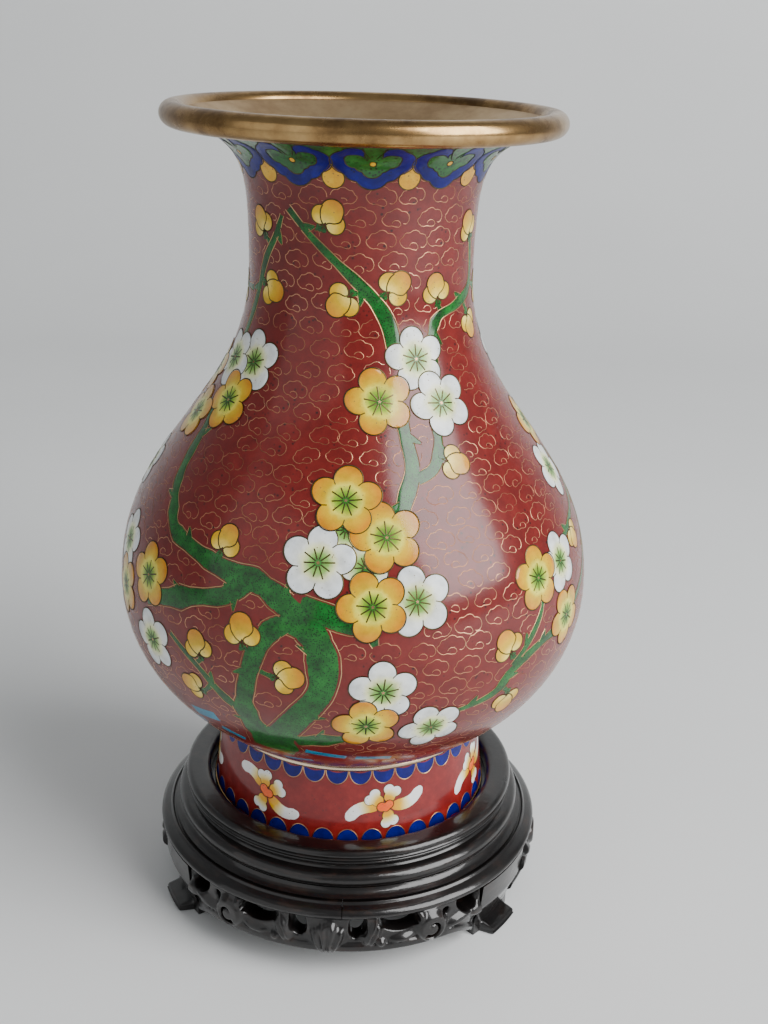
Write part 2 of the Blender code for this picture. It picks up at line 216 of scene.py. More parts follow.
def turned(name, outline, finish, columns=216, span=None):
    """A closed outline (radius, height) carried round the axis, or through span degrees with flat ends."""
    outline = np.asarray(outline, float)
    outline = outline[np.linalg.norm(outline - np.roll(outline, 1, axis=0), axis=1) > 1e-4]
    if span is None:
        azimuth = np.linspace(0.0, 2 * np.pi, columns, endpoint=False)
    else:
        azimuth = np.radians(np.linspace(*span, columns))
    points = around(outline[:, :1], azimuth[None, :], outline[:, 1:]).reshape(-1, 3)
    quads = faced_outward(points, grid_faces(len(outline), columns, True, span is None))
    ends = [] if span is None else end_faces(quads, len(outline), columns)
    return add_piece(name, points, quads.tolist() + ends, finish)


def measured(name):
    """A node's lowest height, its highest height and its radius, in millimetres."""
    low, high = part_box(name)
    return low.z / MM, high.z / MM, high.x / MM


lip_base, lip_top, lip_radius = measured("stand_lip_ring")
lip_inner_radius = lip_radius - 8.7

lip_ring = turned("stand_lip_ring_turned", rounded([
    (lip_inner_radius, lip_base, 0.2),
    (lip_inner_radius, lip_top, 2.6),
    (lip_radius - 0.6, lip_top, 1.5),
    (lip_radius, lip_top - 2.0, 0.5),
    (lip_radius - 0.8, lip_top - 2.4, 0.12),
    (lip_radius + 0.1, lip_top - 3.0, 0.45),
    (lip_radius - 0.9, lip_top - 3.5, 0.12),
    (lip_radius - 0.1, lip_top - 4.0, 0.4),
    (lip_radius - 1.1, lip_base, 0.1),
]), turned_wood)
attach(lip_ring, "stand")
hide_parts("stand_lip_ring")


# ---- Seat panel and moulding ring ---------------------------------------------------------
# The seat panel is a plain turned disc under the foot of the vase. Round it sits the moulding
# ring, one turned piece of hardwood: a cove, a bold half-round, and a second cove below.

def finish_node(name, finish):
    """Gives a CAD node one finish instead of the one that it came with."""
    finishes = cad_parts[name].data.materials
    finishes.clear()
    finishes.append(finish)


def unit(angle):
    """The point one away from the origin at an angle: (cos a, sin a)."""
    return np.stack([np.cos(angle), np.sin(angle)], axis=-1)


finish_node("stand_seat_panel", turned_wood)

moulding_base, moulding_top, moulding_radius = measured("stand_moulding_ring")
moulding_inner = 53.3
half_round = 2.7
half_round_radius = 58.1
half_round_height = moulding_base + 5.1
swell = np.radians(np.linspace(-80.0, 80.0, 21))
cove = np.radians(np.linspace(180.0, 262.0, 10))
moulding_outline = np.vstack([
    [(moulding_inner, moulding_base), (moulding_radius, moulding_base)],
    [(moulding_radius, moulding_base + 0.35)],
    ((moulding_radius + 0.2, moulding_base + 3.45) + (3.1, 2.9) * unit(cove[::-1]))[1:-2],
    (half_round_radius, half_round_height) + half_round * unit(swell),
    [(57.3, moulding_top - 1.1), (56.9, moulding_top - 0.5), (56.9, moulding_top)],
    [(moulding_inner, moulding_top)],
])
moulding_ring = turned("stand_moulding_ring_turned", moulding_outline, turned_wood)
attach(moulding_ring, "stand")
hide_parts("stand_moulding_ring")


# ---- Shoulder segments --------------------------------------------------------------------
# Three sawn and glued segments make the wide shoulder under the moulding. A fine bead runs
# round the top, and the edge is rounded over. Hairline joints show between the segments.

LEG_COUNT = 3
FIRST_LEG = 55.0
LEG_PITCH = 360.0 / LEG_COUNT
SEGMENT_JOINT_OFFSET = 4.0
shoulder_base, shoulder_top, shoulder_radius = measured("shoulder_segment_1")
joint_half_gap = 0.12

for index in range(LEG_COUNT):
    joint = FIRST_LEG + LEG_PITCH * (index - 0.5) + SEGMENT_JOINT_OFFSET
    segment = turned(f"shoulder_segment_{index + 1}_shaped", rounded([
        (shoulder_radius - 19.0, shoulder_base, 0.2),
        (shoulder_radius - 19.0, shoulder_top, 0.2),
        (shoulder_radius - 4.6, shoulder_top, 0.1),
        (shoulder_radius - 4.1, shoulder_top + 0.55, 0.4),
        (shoulder_radius - 3.4, shoulder_top - 0.35, 0.15),
        (shoulder_radius - 1.0, shoulder_top - 1.3, 1.0),
        (shoulder_radius + 0.1, shoulder_base + 1.1, 1.0),
        (shoulder_radius - 0.9, shoulder_base, 0.5),
    ]), turned_wood, 80, (joint + joint_half_gap, joint + LEG_PITCH - joint_half_gap))
    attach(segment, "stand")
    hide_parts(f"shoulder_segment_{index + 1}")


# ---- Aprons -------------------------------------------------------------------------------
# Three carved boards curve between the legs. Each is pierced under the shoulder, with a ribbed
# leaf at its middle, a curling leaf on both sides, a volute, and a scroll running to the leg.

carved_wood = lacquered_wood("carved_hardwood", (1.0, 1.0, 3.0), 7.0)

APRON_HALF_ANGLE = 47.85
APRON_THICKNESS = 5.6
APRON_STEP = 0.4
apron_face = shoulder_radius - 1.6
apron_low, apron_top, _ = measured("apron_1")

# Holes on the right half: across, below the top, half width, half height, tilt in degrees.
APRON_HOLES = (
    (9.8, 3.2, 2.9, 4.9, -10.0),
    (23.4, 2.0, 7.0, 4.2, -8.0),
    (40.0, 3.1, 1.5, 1.1, 35.0),
    (49.4, 1.4, 4.9, 5.0, 0.0),
)
# Plain pads: across, above the low edge, half width, half height, tilt, then height and softness.
APRON_PADS = (
    (17.4, 3.6, 2.4, 2.2, 0.0, 1.7, 1.8),
    (34.6, 6.4, 6.6, 6.6, 0.0, 2.2, 2.8),
    (31.0, 9.6, 3.2, 4.6, 30.0, 1.6, 2.0),
    (45.5, 5.4, 9.0, 2.7, 14.0, 1.7, 2.2),
    (53.5, 5.0, 6.0, 3.6, -24.0, 1.6, 2.4),
    (24.5, 4.3, 6.6, 2.2, 6.0, 1.5, 2.0),
)


def pad(across, up, centre, size, tilt=0.0):
    """How far outside a tilted ellipse a place is, roughly in millimetres, negative inside."""
    turn = np.radians(tilt)
    x = (across - centre[0]) * np.cos(turn) + (up - centre[1]) * np.sin(turn)
    y = (up - centre[1]) * np.cos(turn) - (across - centre[0]) * np.sin(turn)
    scaled = np.hypot(x / size[0], y / size[1])
    return (scaled - 1.0) * min(size)


def rise(distance, softness):
    """Goes smoothly from 0 outside a shape to 1 at softness millimetres inside it."""
    t = np.clip(-distance / softness, 0.0, 1.0)
    return t * t * (3.0 - 2.0 * t)


def apron_lower_edge(across):
    """The bottom line: level under the carving, then a curve sweeping down to the toe."""
    sweep = np.clip((np.abs(across) - 39.0) / 17.0, 0.0, 1.0)
    return apron_low - (apron_low - 2.2) * sweep ** 1.8


def spiral_slot(x, up):
    """A curling slot: distance to a ring arc whose radius shrinks as it turns."""
    dx = x - 34.6
    dy = up - (apron_low + 6.3)
    angle = np.mod(np.arctan2(dy, dx) + 2.4, 2 * np.pi)
    radius = 3.3 - 0.42 * angle
    outside = np.maximum(angle - 5.0, 0.0)
    return np.abs(np.hypot(dx, dy) - radius) - 0.62 + 0.1 * angle + outside * 3.0


def apron_solid(across, up):
    """Positive in the wood, negative in the pierced holes and past the edges, in millimetres."""
    x = np.abs(across)
    wood = np.minimum(up - apron_lower_edge(across), apron_top - up)
    holes = [
        pad(x, up, (place, apron_top - below), (half_width, half_height), tilt)
        for place, below, half_width, half_height, tilt in APRON_HOLES
    ]
    return np.minimum.reduce([wood, spiral_slot(x, up), *holes])


def apron_relief(across, up):
    """Height of the carving: the highest of the pads, with ribs cut in the leaves, less the pinch.

    The pinch draws the board in towards the legs, low down, where they are narrow too.
    """
    x = np.abs(across)
    leaf = np.maximum(pad(x, up, (0.0, apron_low + 6.4), (6.8, 8.2)), 0.7 * x + up - apron_top - 0.6)
    fan = np.arctan2(across, up - apron_low + 4.5)
    ribs = 0.5 + 0.5 * np.cos(fan * 26.0)
    curl = pad(x, up, (14.6, apron_low + 6.8), (3.0, 7.2), -22.0)
    curl_vein = np.exp(-((x - 14.6 - 0.4 * (up - apron_low - 6.8)) / 0.5) ** 2)
    rail = np.abs(up - apron_lower_edge(across) - 2.0) - 2.0
    pads = [
        height * rise(pad(x, up, (place, apron_low + above), (half_width, half_height), tilt), softness)
        for place, above, half_width, half_height, tilt, height, softness in APRON_PADS
    ]
    pinch = 3.8 * np.clip((x - 40.0) / 14.0, 0.0, 1.0) * np.interp(up, (4.0, 9.0, 15.0), (1.0, 0.6, 0.0))
    return np.maximum.reduce([
        2.4 * rise(leaf, 3.2) - 0.8 * ribs * rise(leaf, 1.6),
        2.0 * rise(curl, 2.2) - 0.6 * curl_vein * rise(curl, 0.8),
        1.1 * rise(rail, 1.2),
        *pads,
    ]) - pinch


def pierced_board(name, solid, height, bounds, face, thickness, middle, finish):
    """A board bent round the axis, its front raised by height and pierced where solid is negative.

    A grid of across and up is kept where its cells lie in the wood. Points near the rim slide
    down the slope of solid onto the rim, and a wall joins the front's rim to the back's.
    """
    left, right, low, high = bounds
    across = np.linspace(left, right, int((right - left) / APRON_STEP) + 1)
    up = np.linspace(low, high, int((high - low) / APRON_STEP) + 1)
    up, across = np.meshgrid(up, across, indexing="ij")
    rows, columns = up.shape
    quads = grid_faces(rows, columns)
    inside = solid(across, up)
    kept = quads[inside.ravel()[quads].mean(axis=1) > 0.0]
    uses = np.zeros(rows * columns, int)
    np.add.at(uses, kept.ravel(), 1)
    rim = ((uses > 0) & (uses < 4)).reshape(rows, columns)
    nudge = 0.02
    for _ in range(3):
        value = solid(across, up)
        slope_across = (solid(across + nudge, up) - solid(across - nudge, up)) / (2 * nudge)
        slope_up = (solid(across, up + nudge) - solid(across, up - nudge)) / (2 * nudge)
        steepness = np.maximum(slope_across ** 2 + slope_up ** 2, 0.2)
        slide = np.clip(value / steepness, -0.6 * APRON_STEP, 0.6 * APRON_STEP) * rim
        across = across - slide * slope_across
        up = up - slide * slope_up
    across = np.clip(across, left, right)
    up = np.clip(up, low, high)
    azimuth = np.radians(middle) + across / face
    edge = np.clip(solid(across, up) / 0.5, 0.0, 1.0)
    front_radius = face + height(across, up) - 0.45 * (1.0 - edge) ** 2
    front = around(front_radius, azimuth, up).reshape(-1, 3)
    back = around(np.full_like(up, face - thickness), azimuth, up).reshape(-1, 3)
    sides = np.concatenate([kept[:, [k, (k + 1) % 4]] for k in range(4)])
    key = np.sort(sides, axis=1) @ np.array([rows * columns, 1])
    _, first, count = np.unique(key, return_index=True, return_counts=True)
    open_sides = sides[first[count == 1]]
    back_start = rows * columns
    walls = np.stack([
        open_sides[:, 1], open_sides[:, 0],
        open_sides[:, 0] + back_start, open_sides[:, 1] + back_start,
    ], axis=1)
    faces = np.concatenate([kept, kept[:, ::-1] + back_start, walls])
    used, numbered = np.unique(faces, return_inverse=True)
    points = np.concatenate([front, back])[used]
    faces = numbered.reshape(faces.shape)
    return add_piece(name, points, faced_outward(points, faces).tolist(), finish, crease=50.0)


apron_half_width = np.radians(APRON_HALF_ANGLE) * apron_face
for index in range(LEG_COUNT):
    apron = pierced_board(
        f"apron_{index + 1}_carved", apron_solid, apron_relief,
        (-apron_half_width, apron_half_width, 1.8, apron_top - 0.02),
        apron_face, APRON_THICKNESS, FIRST_LEG + LEG_PITCH * (index - 0.5), carved_wood,
    )
    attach(apron, "stand")
    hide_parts(f"apron_{index + 1}")


# ---- Legs and dowels ----------------------------------------------------------------------
# Each leg is a block of the same wood between two aprons. It drops from a full knee, is pinched
# above the floor, and ends in a ridged toe that stands forward. A hidden dowel pins its top.

LEG_HALF_ANGLE = 11.85
_, leg_top, _ = measured("leg_1")
knee_radius = shoulder_radius - 0.6
leg_depth = 14.5


def leg_face(height, share):
    """How far out the front of a leg is at a height, and -1 to 1 across it.

    The knee's radius less a lean towards the pinch, plus the toe's two ridges where the toe is.
    """
    lean = np.interp(height, (0.0, 3.8, 6.0, 10.0, 14.0, leg_top), (4.6, 4.6, 4.1, 2.5, 0.9, 0.0))
    ridge_heights = (0.0, 0.4, 1.0, 1.4, 1.8, 2.5, 3.1, 3.7)
    ridges = np.interp(height, ridge_heights, (4.0, 4.9, 5.2, 4.3, 4.9, 4.4, 2.2, 0.0))
    return knee_radius - lean + ridges * rise(np.abs(share) - 0.72, 0.16)


leg_heights = np.concatenate([np.linspace(leg_top, 4.4, 30), np.linspace(4.2, 0.2, 26), [0.0]])
leg_share = np.linspace(-1.0, 1.0, 57)
height_grid, share_grid = np.meshgrid(leg_heights, leg_share, indexing="ij")
leg_front = leg_face(height_grid, share_grid)
leg_front[-1] -= 0.35
leg_back = np.full_like(leg_front, knee_radius - leg_depth)
leg_radius = np.vstack([leg_front, leg_back[::-4]])
leg_height = np.vstack([height_grid, height_grid[::-4]])
foot_share = np.interp(leg_height, [0.0, 4.4, 9.0], [0.86, 0.86, 1.0])
leg_spread = np.vstack([share_grid, share_grid[::-4]]) * foot_share

for index in range(LEG_COUNT):
    azimuth = np.radians(FIRST_LEG + LEG_PITCH * index + LEG_HALF_ANGLE * leg_spread)
    points = around(leg_radius, azimuth, leg_height).reshape(-1, 3)
    quads = faced_outward(points, grid_faces(*leg_radius.shape, closed_rows=True))
    sides = end_faces(quads, *leg_radius.shape)
    leg = add_piece(f"leg_{index + 1}_carved", points, quads.tolist() + sides, carved_wood)
    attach(leg, "stand")
    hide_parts(f"leg_{index + 1}")
    finish_node(f"leg_dowel_{index + 1}", turned_wood)


# ---- Foot rim, base plate and inner foot --------------------------------------------------
# The foot is a copper tube. A brass wire ring closes its lower rim, and a copper base plate
# with plain blue counter enamel underneath is soldered a little way up inside it.

FOOT_HEIGHT = 27.5
FOOT_TAPER = 0.8
COPPER = 1.2
ENAMEL = 0.9
SEAM = 0.05
vase_base, foot_edge_top, foot_base_radius = measured("foot_edge_ring")
waist_low, waist_high, waist_radius = measured("waist_ring")
foot_top_radius = waist_radius - 1.2


class Outline:
    """The silhouette of a turned wall, with its length measured along itself from the bottom."""

    def __init__(self, radius, height):
        """Keeps points of radius and height, and the sum of the chords up to each of them."""
        self.radius = radius
        self.height = height
        chords = np.hypot(np.diff(radius), np.diff(height))
        self.along = np.concatenate([[0.0], np.cumsum(chords)])
        self.slope_out = np.gradient(radius, self.along)
        self.slope_up = np.gradient(height, self.along)
        self.length = self.along[-1]

    def length_at(self, height):
        """Length along the wall where it passes a height."""
        return np.interp(height, self.height, self.along)

    def radius_at(self, along):
        """Radius of the wall at a length along it."""
        return np.interp(along, self.along, self.radius)

    def place(self, azimuth, along, lift=0.0):
        """The wall's point at a length along it, pushed lift out on its normal, then turned to the azimuth.

        The normal to the slope (out, up) is (up, -out).
        """
        out = np.interp(along, self.along, self.slope_out)
        up = np.interp(along, self.along, self.slope_up)
        radius = self.radius_at(along) + lift * up
        height = np.interp(along, self.along, self.height) - lift * out
        return around(radius, azimuth, height)


foot_steps = np.linspace(0.0, 1.0, 60)
FOOT = Outline(
    foot_base_radius + (foot_top_radius - foot_base_radius) * foot_steps ** FOOT_TAPER,
    vase_base + FOOT_HEIGHT * foot_steps,
)


def mottled_metal(name, light, middle, dark, roughness, seed):
    """Old polished metal: brown patina in clouds over a lighter ground, and fine turning lines."""
    metal = glossy(name, roughness, metal=1.0)
    clouds = grain(metal, 55.0, 7.0, roughness=0.65, seed=seed)
    feed(metal, "Base Color", ramp(metal, clouds, [(0.34, dark), (0.52, middle), (0.72, light)]))
    feed(metal, "Roughness", ramp(metal, clouds, [(0.3, roughness + 0.14), (0.7, roughness - 0.06)]))
    relief(metal, grain(metal, 260.0, 3.0, (1.0, 1.0, 9.0), seed=seed), 0.03, 0.6)
    return metal


brass = mottled_metal(
    "antique_brass", (0.52, 0.345, 0.15), (0.33, 0.20, 0.082), (0.12, 0.066, 0.028), 0.22, 1.0
)
copper = mottled_metal("copper", (0.62, 0.30, 0.17), (0.50, 0.22, 0.12), (0.22, 0.09, 0.05), 0.40, 2.0)

foot_edge = turned("foot_edge_ring_turned", rounded([
    (foot_base_radius - 2.1, vase_base, 0.5),
    (foot_base_radius - 2.1, foot_edge_top, 0.2),
    (foot_base_radius + 0.05, foot_edge_top, 0.5),
    (foot_base_radius + 0.05, vase_base, 0.6),
]), brass)
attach(foot_edge, "vase")
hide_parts("foot_edge_ring")


def wall_piece(name, outline, start, end, outer_lift, inner_lift, finish, rows=60, columns=216):
    """A closed wall between two lengths of an outline: up its outer face and down its inner one."""
    up_along = np.linspace(start, end, rows)
    down_along = up_along[::-2]
    along = np.concatenate([up_along, down_along])[:, None]
    lift = np.concatenate([np.full(rows, outer_lift), np.full(len(down_along), inner_lift)])[:, None]
    azimuth = np.linspace(0.0, 2 * np.pi, columns, endpoint=False)[None, :]
    points = outline.place(azimuth, along, lift).reshape(-1, 3)
    quads = grid_faces(len(along), columns, True, True)
    return add_piece(name, points, faced_outward(points, quads).tolist(), finish)


foot_wall_low, foot_wall_high, _ = measured("foot_shell")
foot_wall = wall_piece(
    "foot_shell_turned", FOOT, FOOT.length_at(foot_wall_low), FOOT.length_at(foot_wall_high),
    -ENAMEL - SEAM, -ENAMEL - COPPER, copper,
)
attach(foot_wall, "vase")
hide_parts("foot_shell")

finish_node("base_plate", copper)


def enamel(
    name, stops, speck, bump=0.03, speck_size=700.0, speck_edge=0.27, spread_from=0.52,
    coat=0.8, coat_roughness=0.12,
):
    """Fired glass: a mottled colour with dark pinholes, polished, with a faintly uneven skin."""
    glass = glossy(name, 0.40, coat=coat, coat_roughness=coat_roughness, specular=0.12)
    colour = ramp(glass, grain(glass, 190.0, 6.0, roughness=0.7), stops)
    add_specks(glass, colour, speck, speck_size, 0.55 * speck_edge, speck_edge, spread_from)
    relief(glass, grain(glass, 110.0, 3.0), bump)
    return glass


def add_specks(material, colour, speck, scale, low=0.15, high=0.27, spread_from=0.52):
    """Feeds the colour with small dark specks at the middles of some random cells."""
    spots = node(
        material, "ShaderNodeTexVoronoi",
        {"Vector": node(material, "ShaderNodeTexCoord").outputs["Object"], "Scale": scale},
    )
    amount = ramp(material, spots.outputs["Distance"], [(low, 1.0), (high, 0.0)])
    regions = grain(material, scale * 0.35, 2.0, seed=9.0)
    rare = ramp(material, regions, [(spread_from, 0.0), (spread_from + 0.08, 1.0)])
    both = node(material, "ShaderNodeMath", {0: amount, 1: rare}, operation="MULTIPLY")
    mixed = node(
        material, "ShaderNodeMix",
        {"Factor": both.outputs["Value"], "A": colour, "B": (*speck, 1.0)},
        data_type="RGBA",
    )
    feed(material, "Base Color", mixed.outputs[2])


counter_blue = enamel(
    "counter_enamel_blue",
    [(0.3, (0.004, 0.07, 0.26)), (0.5, (0.008, 0.11, 0.36)), (0.7, (0.03, 0.18, 0.45))],
    (0.01, 0.02, 0.06),
)
finish_node("base_enamel", counter_blue)


# ---- Foot enamel, its scallops and flowers ------------------------------------------------
# The foot is coated in a lighter red. Blue half-round scallops run along both edges, and seven
# winged flowers stand between them: white petals, yellow at the root, round an orange heart.

SCALLOPS = 37
SCALLOP_RADIUS = 3.55
SCALLOP_STRETCH = 1.32
SCALLOP_INSET = 1.6
FOOT_FLOWERS = 7
FOOT_FLOWER_START = 15.4
FOOT_FLOWER_TILTS = (10.0, 14.0, -20.0, 12.0, -24.0, -18.0, -27.0)
CELL_LIFT = 0.05
RIM_DEPTH = 0.03
RIM_SHARE = 0.965
WIRE_WIDTH = 0.34
random = np.random.default_rng(7)

foot_red = enamel(
    "foot_red_enamel",
    [(0.3, (0.145, 0.0055, 0.0055)), (0.5, (0.190, 0.0090, 0.0080)), (0.7, (0.255, 0.017, 0.014))],
    (0.10, 0.01, 0.01),
)
cobalt = enamel(
    "cobalt_enamel",
    [(0.3, (0.0010, 0.0015, 0.085)), (0.5, (0.0020, 0.0030, 0.140)), (0.75, (0.005, 0.009, 0.25))],
    (0.001, 0.001, 0.03), coat=0.35,
)

foot_start, foot_end = (FOOT.length_at(height) for height in measured("foot_enamel")[:2])
foot_ground = wall_piece("foot_enamel_ground", FOOT, foot_start, foot_end, 0.0, -ENAMEL, foot_red)
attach(foot_ground, "vase")
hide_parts("foot_enamel")


def turned_by(local, angle):
    """Local (x, y) places turned anticlockwise: x cos a - y sin a, and x sin a + y cos a."""
    x, y = local[..., 0], local[..., 1]
    cosine, sine = np.cos(angle), np.sin(angle)
    return np.stack([x * cosine - y * sine, x * sine + y * cosine], axis=-1)


def copies(outline, count):
    """The same outline once for each of several cells."""
    return np.broadcast_to(outline, (count, *outline.shape))


def lobed(circles, count=60):
    """A rounded outline about the origin: in each direction, the furthest reach of the circles.

    A circle of radius q centred p away, at an angle b from the ray, is left at
    p cos b + sqrt(q^2 - p^2 sin^2 b).
    """
    ray = np.linspace(0.0, 2 * np.pi, count, endpoint=False)
    x, y, q = (np.array(circles, float)[:, k:k + 1] for k in range(3))
    p, b = np.hypot(x, y), ray - np.arctan2(y, x)
    inside = q ** 2 - (p * np.sin(b)) ** 2
    reach = np.where(inside > 0, p * np.cos(b) + np.sqrt(np.maximum(inside, 0.0)), 0.0).max(axis=0)
    return reach[:, None] * unit(ray)


def spread(wall, azimuth, along, local):
    """Local (x, y) places laid on a wall: y adds to the length, and x over the radius to the azimuth."""
    extra = (1,) * (local.ndim - 1 - np.ndim(azimuth))
    along = np.reshape(along, np.shape(along) + extra) + local[..., 1]
    return np.reshape(azimuth, np.shape(azimuth) + extra) + local[..., 0] / wall.radius_at(along), along


def add_laid(name, parts, finish, shaded=False):
    """Adds one piece of (points, faces, shades) parts; a face at a cell's middle loses its double corner."""
    offsets = np.cumsum([0] + [len(points) for points, _, _ in parts])
    faces = np.concatenate([part[1] + offset for part, offset in zip(parts, offsets)])
    faces = [list(dict.fromkeys(face)) for face in faces.tolist()]
    points = np.concatenate([part[0] for part in parts])
    shade = np.concatenate([part[2] for part in parts]) if shaded else None
    return add_piece(name, points, faces, finish, shade)


def repeated(quads, count, size):
    """The quads of one grid of size points, once for each of count grids that follow each other."""
    return (np.arange(count) * size)[:, None, None] + quads


def cells(wall, azimuth, along, outline, lift=CELL_LIFT, root=(0.0, 0.0), reach=None, rings=7):
    """Filled cells on a wall. Cell k's outline[k, n, (x, y)] is shrunk to its centre in rings.

    The skin is level at lift, and its last ring drops just under the ground. The shade is the
    distance from the root over the reach, and a number that is the cell's own.
    """
    count, sides = outline.shape[:2]
    share = np.append(np.linspace(0.0, RIM_SHARE, rings), 1.0)
    local = share[None, :, None, None] * outline[:, None]
    skin = (share < 1.0)[None, :, None]
    height = skin * (np.reshape(lift, (-1, 1, 1)) + RIM_DEPTH) - RIM_DEPTH
    across, up = spread(wall, azimuth, along, local)
    points = wall.place(across, up, height + 0.0 * across)
    from_root = local - np.reshape(root, (-1, 1, 1, 2))
    if reach is None:
        reach = np.linalg.norm(outline, axis=-1).max()
    shade = np.stack([
        np.linalg.norm(from_root, axis=-1) / reach,
        np.broadcast_to(random.random(count)[:, None, None], across.shape),
    ], axis=-1)
    index = np.arange((rings + 1) * sides).reshape(rings + 1, sides)
    index[0] = 0
    ring_after, side_after = index[1:], np.roll(index, -1, axis=1)
    quads = np.stack([index[:-1], ring_after, side_after[1:], side_after[:-1]], axis=-1).reshape(-1, 4)
    quads = repeated(quads, count, index.size)
    return points.reshape(-1, 3), quads.reshape(-1, 4), shade.reshape(-1, 2)


def beside(wall, azimuth, along, offset):
    """Places beside paths[k, n] on a wall, offset[..., m] to their left and at right angles to them.

    With (x, y) the way ahead, an offset d goes to x d over the length of (x, y) up the wall, and
    to y d over that length and the radius back in azimuth.
    """
    radius = wall.radius_at(along)[..., None]
    ahead_x = np.gradient(azimuth, axis=-1)[..., None] * radius
    ahead_y = np.gradient(along, axis=-1)[..., None]
    size = np.maximum(np.hypot(ahead_x, ahead_y), 1e-9)
    back = offset * (ahead_y / size) / radius
    return azimuth[..., None] - back, along[..., None] + offset * (ahead_x / size)


def ribbon(wall, azimuth, along, width, lift=CELL_LIFT, columns=7):
    """Bands along paths[k, n] on a wall, with a width at each point; sides and ends dip to the ground.

    The shade is the share of the path's length, and the share across.
    """
    count, steps = along.shape
    across = np.linspace(-1.0, 1.0, columns)
    skin = np.pad(np.ones((steps - 2, columns - 2)), 1)
    height = skin * (np.reshape(lift, (-1, 1, 1)) + RIM_DEPTH) - RIM_DEPTH
    points = wall.place(*beside(wall, azimuth, along, 0.5 * width[..., None] * across), height)
    quads = repeated(grid_faces(steps, columns), count, steps * columns)
    share = np.broadcast_to(np.linspace(0.0, 1.0, steps)[:, None], (count, steps, columns))
    shade = np.stack([share, np.broadcast_to(0.5 + 0.5 * across, share.shape)], axis=-1)
    return points.reshape(-1, 3), quads.reshape(-1, 4), shade.reshape(-1, 2)


def wire(wall, azimuth, along, keep=None, width=WIRE_WIDTH, lift=CELL_LIFT, crown=0.06):
    """Flat wires on edge along paths[k, n], ground to a low roof section; keep says which steps stay."""
    count, steps = along.shape
    offset_azimuth, offset_along = beside(wall, azimuth, along, np.array([-0.5, 0.0, 0.5]) * width)
    ridge = np.reshape(lift, (-1, 1, 1)) + np.array([-0.02, 1.0, -0.02]) * crown
    points = wall.place(offset_azimuth, offset_along, ridge + 0.0 * offset_along)
    quads = repeated(grid_faces(steps, 3), count, steps * 3).reshape(count, steps - 1, 2, 4)
    if keep is not None:
        quads = quads[keep]
    used, numbered = np.unique(quads, return_inverse=True)
    points = points.reshape(-1, 3)[used]
    return points, numbered.reshape(-1, 4), np.zeros((len(points), 2))


def looped(values):
    """Closes each path by repeating its first point at its end."""
    return np.concatenate([values, values[:, :1]], axis=1)


def outline_wire(wall, azimuth, along, outline, **settings):
    """A wire round each cell of an outline."""
    across, up = spread(wall, azimuth, along, outline)
    return wire(wall, looped(across), looped(up), **settings)


def shaded_enamel(name, stops, speck, speck_size=900.0, wander=0.24, tone=0.28):
    """Glass laid in wet shades: colours follow the cell's own shade map, blurred by a little noise."""
    glass = glossy(name, 0.40, coat=0.8, coat_roughness=0.12, specular=0.12)
    shade = node(glass, "ShaderNodeUVMap", uv_map="shade")
    parts = node(glass, "ShaderNodeSeparateXYZ", {"Vector": shade.outputs["UV"]})
    clouds = grain(glass, 420.0, 5.0, roughness=0.65)
    drift = node(glass, "ShaderNodeMath", {0: clouds, 1: -0.5}, operation="ADD")
    wandered = node(
        glass, "ShaderNodeMath",
        {0: drift.outputs["Value"], 1: wander, 2: parts.outputs["X"]}, operation="MULTIPLY_ADD",
    )
    colour = ramp(glass, wandered.outputs["Value"], stops)
    patch = ramp(glass, grain(glass, 230.0, 4.0, seed=4.0), [(0.3, 1.0 - tone), (0.6, 1.0)])
    toned = node(
        glass, "ShaderNodeMix", {"Factor": 1.0, "A": colour, "B": patch},
        data_type="RGBA", blend_type="MULTIPLY",
    )
    add_specks(glass, toned.outputs[2], speck, speck_size, 0.10, 0.20)
    relief(glass, grain(glass, 160.0, 3.0), 0.03)
    return glass


wing_enamel = shaded_enamel("wing_enamel", [
    (0.16, (0.72, 0.22, 0.001)),
    (0.36, (0.76, 0.42, 0.002)),
    (0.50, (0.84, 0.74, 0.36)),
    (0.62, (0.84, 0.84, 0.83)),
], (0.3, 0.25, 0.2), wander=0.10, tone=0.10)
orange_enamel = enamel(
    "orange_enamel",
    [(0.3, (0.75, 0.07, 0.002)), (0.6, (0.88, 0.14, 0.004))],
    (0.3, 0.03, 0.01),
)
fine_wire = mottled_metal(
    "fine_wire", (0.72, 0.47, 0.26), (0.52, 0.31, 0.15), (0.25, 0.13, 0.06), 0.32, 3.0
)
# These cell wires are brass like the others; their near-black colour is painted shade, standing in for the
# dark surround that bare brass reflects.
painted_shade_wire = mottled_metal(
    "painted_shade_wire", (0.16, 0.12, 0.05), (0.075, 0.062, 0.028), (0.03, 0.028, 0.015), 0.45, 4.0
)

scallop_azimuth = np.arange(SCALLOPS) * 2 * np.pi / SCALLOPS
half_turn = np.linspace(0.0, np.pi, 17)
scallop = SCALLOP_RADIUS * unit(half_turn) * (1.0, SCALLOP_STRETCH) - (0.0, SCALLOP_INSET)
# The scallops stand on the low line and hang, turned over, from the high one, half a step on.
low_row = (scallop_azimuth, np.full(SCALLOPS, foot_start + SCALLOP_INSET))
high_row = (scallop_azimuth + np.pi / SCALLOPS, np.full(SCALLOPS, foot_end - SCALLOP_INSET))
scallops = add_laid("foot_scallops", [
    cells(FOOT, *low_row, copies(scallop, SCALLOPS)),
    cells(FOOT, *high_row, copies(scallop[::-1] * (1.0, -1.0), SCALLOPS)),
], cobalt)
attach(scallops, "vase")

